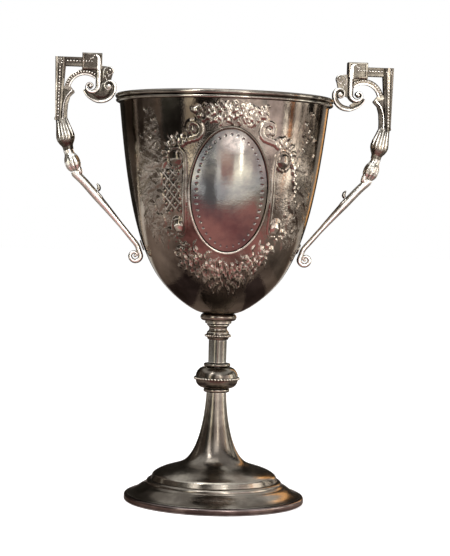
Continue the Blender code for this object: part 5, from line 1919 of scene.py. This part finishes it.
    def make_bud(self, name: str) -> Piece:
        """The bud between the husk and the arm: a plain neck, a cup of leaf tips, and a leaf down the arm.

        Args:
            name: Name of the piece.

        Returns:
            The piece.
        """
        lean = Vector((-4.9, -12.7))
        start = Vector((self.neck_x - 4.8, extent("right_husk")[2] + 0.75)) + lean.normalized() * 0.25
        shares = (0.0, 0.14, 0.24, 0.36, 0.5, 0.64, 0.78, 0.9, 1.0)
        path = resampled([tuple(start + lean * share) for share in shares], 40)
        radii = np.interp(np.linspace(0.0, 1.0, 41), shares, (3.1, 3.0, 3.4, 4.3, 4.8, 4.9, 4.7, 4.0, 2.9))
        parts = [round_bar(name, path, radii, tips)]
        turn, inward = math.atan2(lean.y, lean.x), Vector((lean.y, -lean.x)).normalized()
        for share, out, *half in ((0.98, 2.4, 4.8, 2.3, 1.7), (0.72, -2.6, 3.0, 3.2, 1.4), (0.8, 0.3, 3.4, 4.4, 1.1)):
            parts.append(ball(start + lean * share + inward * out, half, turn, 0.9))
        return joined(parts)

    def make_arm(self, name: str) -> Piece:
        """The plain round arm that ends in a volute against the bowl.

        Args:
            name: Name of the piece.

        Returns:
            The piece.
        """
        start, end, thin = self.arm_start, self.arm_end, self.arm_radius
        path = [tuple(start), tuple(start + Vector(self.arm_lean).normalized() * 1.3)]
        path += [tuple(self.on_arm(share)) for share in (0.13, 0.3, 0.5, 0.72, 0.9)]
        path += [tuple(end), tuple(end - self.wall_way * 3.3)]
        eye = end - self.wall_way * 6.6 + Vector((self.arm_volute, 0.0))
        curl = spiral(eye, 180, 540, [self.arm_volute * share for share in (1.0, 0.98, 0.9, 0.6, 0.27)], 40)
        straight = resampled(path + curl[:1], 44)[:-1]
        radii = blend((self.arm_top, self.arm_top, thin, thin), len(straight))
        radii += [thin * share for share in blend((0.95, 0.85, 0.75, 0.6, 0.4), len(curl))]
        # Painted shade: the arm is darker along its sides, and more so round its curl.
        plain, curled = round_section(0.2), round_section(-0.5)
        turn_in = (len(straight) - 2) / len(radii)
        parts = [round_bar(name, straight + curl, radii, lambda share: plain if share < turn_in else curled)]
        parts.append(ball(eye, (1.1, 1.75, 1.1), 0.0, 0.8))
        turn = math.atan2(end.y - start.y, end.x - start.x)
        for share, out, long, wide in ((0.36, 2.35, 3.6, 0.9), (0.33, 2.0, 2.6, 1.2), (0.04, 0.6, 2.6, 2.2)):
            place = start.lerp(end, share) + self.inward * out
            parts.append(ball(place, (long, 1.5 + 0.6 * wide, wide), turn, 0.7))
        return joined(parts)

    def make_spur(self, name: str) -> Piece:
        """The small curled leaf that stands on the arm.

        Args:
            name: Name of the piece.

        Returns:
            The piece.
        """
        base = self.on_arm(0.3) + self.inward * (self.arm_top + GAP)
        up = Vector((math.sin(math.radians(14)), math.cos(math.radians(14))))
        steps = ((0, 0), (0.25, 0), (0.32, 0.35), (0.12, 0.9))
        path = [tuple(base + (self.inward * out + up * rise) * 4.4) for out, rise in steps]
        radii = [1.1 * share for share in blend((1.0, 1.1, 0.9, 0.3), 21)]
        return round_bar(name, resampled(path, 20), radii, lobed(4, 0.2))

    def make_pad(self, name: str) -> Piece:
        """The oval solder pad on the bowl.

        Args:
            name: Name of the piece.

        Returns:
            The piece.
        """
        _, _, bottom, top = extent("right_pad")
        wide, tall = self.pad
        rings = []
        for share, lift in ((1.0, 0.3), (1.0, 0.75), (0.86, 1.08), (0.5, 1.1)):
            oval = arc((0.0, (bottom + top) / 2), wide * share, 0.0, math.tau, 28, tall / wide)[:-1]
            rings.append([(math.sqrt((self.bowl.radius_at(z) + lift) ** 2 - y * y), y, z) for y, z in oval])
        return drawn(name, rings, [[0.4] * 28] * 4, 40.0)


# The studio

MIDDLE = Vector((0.0, 0.0, 0.15))
DARK = (0.06, 0.055, 0.05)
WARM_WHITE = (1.0, 0.97, 0.9)


def way_to(azimuth: float, elevation: float) -> Vector:
    """The way from the cup to what stands at two angles in degrees, round from the front and up."""
    across, up = math.radians(azimuth), math.radians(elevation)
    return Vector((math.sin(across) * math.cos(up), -math.cos(across) * math.cos(up), math.sin(up)))


def painted(piece: Piece, name: str, tone: Spot, roughness: float) -> Nodes:
    """The nodes of a new matt material on a card or on the floor.

    Args:
        piece: The card or floor.
        name: Name of the material.
        tone: Its colour.
        roughness: Its roughness.

    Returns:
        The nodes.
    """
    material = bpy.data.materials.new(name)
    piece.data.materials.append(material)
    nodes = Nodes(material)
    nodes.surface({"Base Color": tone, "Roughness": roughness, "Specular IOR Level": 0.0})
    return nodes


@dataclass(frozen=True)
class Lamp:
    """A soft area lamp, placed by its direction from the cup."""

    name: str
    azimuth: float
    elevation: float
    distance: float
    size: Point
    power: float
    colour: Spot = WHITE

    def build(self) -> None:
        """Hangs the lamp and aims it at the middle of the cup."""
        data = bpy.data.lights.new(self.name, "AREA")
        data.shape = "RECTANGLE"
        data.size, data.size_y = self.size
        data.energy = self.power
        data.color = self.colour
        lamp = bpy.data.objects.new(self.name, data)
        way = way_to(self.azimuth, self.elevation)
        lamp.location = MIDDLE + way * self.distance
        lamp.rotation_euler = (-way).to_track_quat("-Z", "Y").to_euler()
        bpy.context.scene.collection.objects.link(lamp)


@dataclass(frozen=True)
class Flag:
    """A card beside the set, out of the picture, that the silver mirrors: dark, or glowing softly."""

    name: str
    azimuth: float
    elevation: float
    distance: float
    size: Point
    tone: Spot
    glow: float = 0.0
    shift: Spot = (0.0, 0.0, 0.0)

    def build(self) -> None:
        """Stands the card and turns it to the middle of the cup, then shifts it."""
        bpy.ops.object.select_all(action="DESELECT")
        bpy.ops.mesh.primitive_plane_add(size=1.0)
        card = named(bpy.context.object, self.name)
        way = way_to(self.azimuth, self.elevation)
        place = Matrix.Translation(MIDDLE + Vector(self.shift) + way * self.distance)
        turn = way.to_track_quat("Z", "Y").to_matrix().to_4x4()
        card.data.transform(place @ turn @ Matrix.Diagonal((*self.size, 1.0, 1.0)))
        nodes = painted(card, self.name, self.tone, 0.95)
        nodes.surface({"Emission Color": self.tone, "Emission Strength": self.glow})
        card.visible_camera = card.visible_diffuse = card.visible_shadow = False


@dataclass
class Camera:
    """The camera at the angle of the photograph: angles in degrees, its place in metres."""

    focal_pixels: float = 1642.0
    picture_pixels: float = 556.0
    sensor: float = 24.0
    pitch: float = 2.3
    roll: float = 1.65
    yaw: float = 4.5
    place: Spot = (0.0034, -1.031, 0.182)

    def build(self) -> None:
        """Places the camera."""
        data = bpy.data.cameras.new("camera")
        data.sensor_fit = "VERTICAL"
        data.sensor_height = self.sensor
        data.lens = self.focal_pixels / self.picture_pixels * self.sensor
        data.clip_start = 0.01
        camera = bpy.data.objects.new("camera", data)
        bpy.context.scene.collection.objects.link(camera)
        pitch, roll, yaw = (math.radians(angle) for angle in (self.pitch, self.roll, self.yaw))
        forward, right = Vector((0.0, math.cos(pitch), -math.sin(pitch))), Vector((1.0, 0.0, 0.0))
        turn = Matrix((right, right.cross(forward), -forward)).transposed() @ Matrix.Rotation(roll, 3, "Z")
        camera.matrix_world = Matrix.Rotation(-yaw, 4, "Z") @ Matrix.Translation(self.place) @ turn.to_4x4()
        bpy.context.scene.camera = camera


@dataclass
class Studio:
    """A pale floor, a white surround, soft lamps, dark and bright cards, and the camera."""

    floor_size: float = 12.0
    flag_height: float = 1.1
    card_height: float = 0.41

    def build(self) -> None:
        """Builds the set."""
        self.world()
        self.floor()
        for piece in self.lamps() + self.flags() + self.cards() + self.mats():
            piece.build()
        Camera().build()
        bpy.context.scene.view_settings.view_transform = "Standard"

    def lamps(self) -> list[Lamp]:
        """The lamps: two in front and one warm one behind, a small window and one overhead."""
        return [
            Lamp("key_box", 6.0, 14.0, 1.0, (0.42, 0.9), 4.2),
            Lamp("left_strip", -41.0, 22.0, 1.0, (0.23, 0.6), 2.6),
            Lamp("left_window", -38.0, 48.0, 1.1, (0.14, 0.2), 2.4),
            Lamp("top_box", -20.0, 80.0, 1.5, (0.9, 0.9), 9.0),
            Lamp("warm_side", 146.0, 14.0, 0.85, (0.09, 0.6), 0.6, (1.0, 0.55, 0.22)),
        ]

    def flags(self) -> list[Flag]:
        """The tall dark flags round the set."""
        return [Flag(name, azimuth, 8.0, reach, (wide, self.flag_height), tone) for name, azimuth, reach, wide, tone in (
            ("flag_back", 180.0, 1.0, 1.45, DARK),
            ("flag_left", -113.0, 1.0, 1.2, (0.2, 0.17, 0.15)),
            ("flag_brown", -80.0, 0.95, 0.14, (0.24, 0.19, 0.16)),
            ("flag_left_dark", -62.0, 0.95, 0.47, (0.1, 0.1, 0.09)),
            ("flag_front_left", -26.0, 0.95, 0.42, (0.13, 0.12, 0.11)),
            ("flag_right", 88.0, 1.0, 1.9, DARK),
        )]

    def cards(self) -> list[Flag]:
        """The glowing cards that stand before the flags, and the small ones near the floor."""
        tall = [Flag(name, azimuth, 5.0, 0.7, (wide, self.card_height), tone, glow) for name, azimuth, wide, tone, glow in (
            ("card_far_left", -114.2, 0.03, WARM_WHITE, 1.0),
            ("card_left", -40.9, 0.118, (1.0, 0.93, 0.74), 2.0),
            ("card_front", 12.0, 0.62, (1.0, 0.9, 0.88), 0.42),
            ("card_mauve", 51.0, 0.26, (1.0, 0.88, 0.88), 0.55),
            ("card_first", 65.5, 0.037, WARM_WHITE, 5.5),
            ("card_warm", 71.8, 0.03, (1.0, 0.55, 0.33), 3.0),
            ("card_wide", 80.5, 0.104, WARM_WHITE, 4.5),
            ("card_third", 91.2, 0.069, WARM_WHITE, 3.2),
            ("card_fourth", 109.3, 0.035, WARM_WHITE, 3.2),
            ("card_last", 118.4, 0.024, WARM_WHITE, 2.5),
        )]
        return tall + [
            Flag("card_low", 16.0, -10.5, 0.67, (0.3, 0.05), WARM_WHITE, 1.6),
            Flag("card_pink", 1.0, -10.5, 0.66, (0.16, 0.07), (0.75, 0.47, 0.44), 0.4),
            Flag("card_strip", 16.0, 12.8, 0.69, (0.08, 0.235), WARM_WHITE, 12.0),
            Flag("card_bar", 16.0, -7.7, 0.655, (0.03, 0.04), WARM_WHITE, 9.0),
        ]

    def mats(self) -> list[Flag]:
        """The mats on the floor: a wide one, and smaller ones on it that are shifted from the cup."""
        wide = Flag("flag_low", 0.0, -90.0, 0.1492, (1.2, 0.98), (0.40, 0.335, 0.305))
        return [wide] + [Flag(name, 0.0, -90.0, 0.148, size, tone, glow, (x, y, 0.0)) for name, x, y, size, tone, glow in (
            ("mat_red", 0.0, -0.29, (0.62, 0.3), (0.47, 0.21, 0.21), 0.1),
            ("mat_grey_near", -0.165, -0.48, (0.14, 0.17), (0.3, 0.29, 0.29), 0.0),
            ("mat_grey_far", -0.24, -0.7, (0.2, 0.28), (0.3, 0.29, 0.29), 0.0),
            ("mat_dark_left", -0.105, 0.17, (0.085, 0.42), (0.12, 0.09, 0.09), 0.0),
            ("mat_dark_right", 0.12, 0.17, (0.08, 0.42), (0.12, 0.09, 0.09), 0.0),
            ("mat_brown", 0.0, -0.08, (0.11, 0.12), (0.42, 0.33, 0.29), 0.7),
            ("mat_far_right", 0.34, 0.1, (0.22, 0.5), (0.27, 0.235, 0.215), 0.0),
        )]

    def world(self) -> None:
        """White round the set, as the camera and the metal see it, and plain soft light."""
        world = bpy.data.worlds.new("studio")
        bpy.context.scene.world = world
        nodes = Nodes(world)
        strength = nodes.mapped(nodes.seen(), 0.0, 1.0, 0.5, 1.0)
        nodes.feed(nodes.tree.nodes["Background"], {"Color": WHITE, "Strength": strength})

    def floor(self) -> None:
        """The pale floor, which keeps the soft shadow of the foot."""
        bpy.ops.object.select_all(action="DESELECT")
        bpy.ops.mesh.primitive_plane_add(size=self.floor_size)
        floor = named(bpy.context.object, "studio_floor")
        nodes = painted(floor, "pale_floor", (0.86, 0.86, 0.86), 0.9)
        lift = nodes.mapped(nodes.length(nodes.place()), 0.1, 0.7, 0.52, 0.62)
        nodes.surface({"Emission Color": WHITE, "Emission Strength": nodes.combined("MULTIPLY", nodes.seen(), lift)})


def main() -> None:
    """Builds the cup from the foot up, then its handles and the set."""
    logging.basicConfig(level=logging.INFO, format="%(name)s %(message)s")
    bowl = Bowl()
    for piece in (Foot(), Knop(), Stem(), Fastening(), bowl, Handle(bowl), Studio()):
        piece.build()


if __name__ == "__main__":
    main()
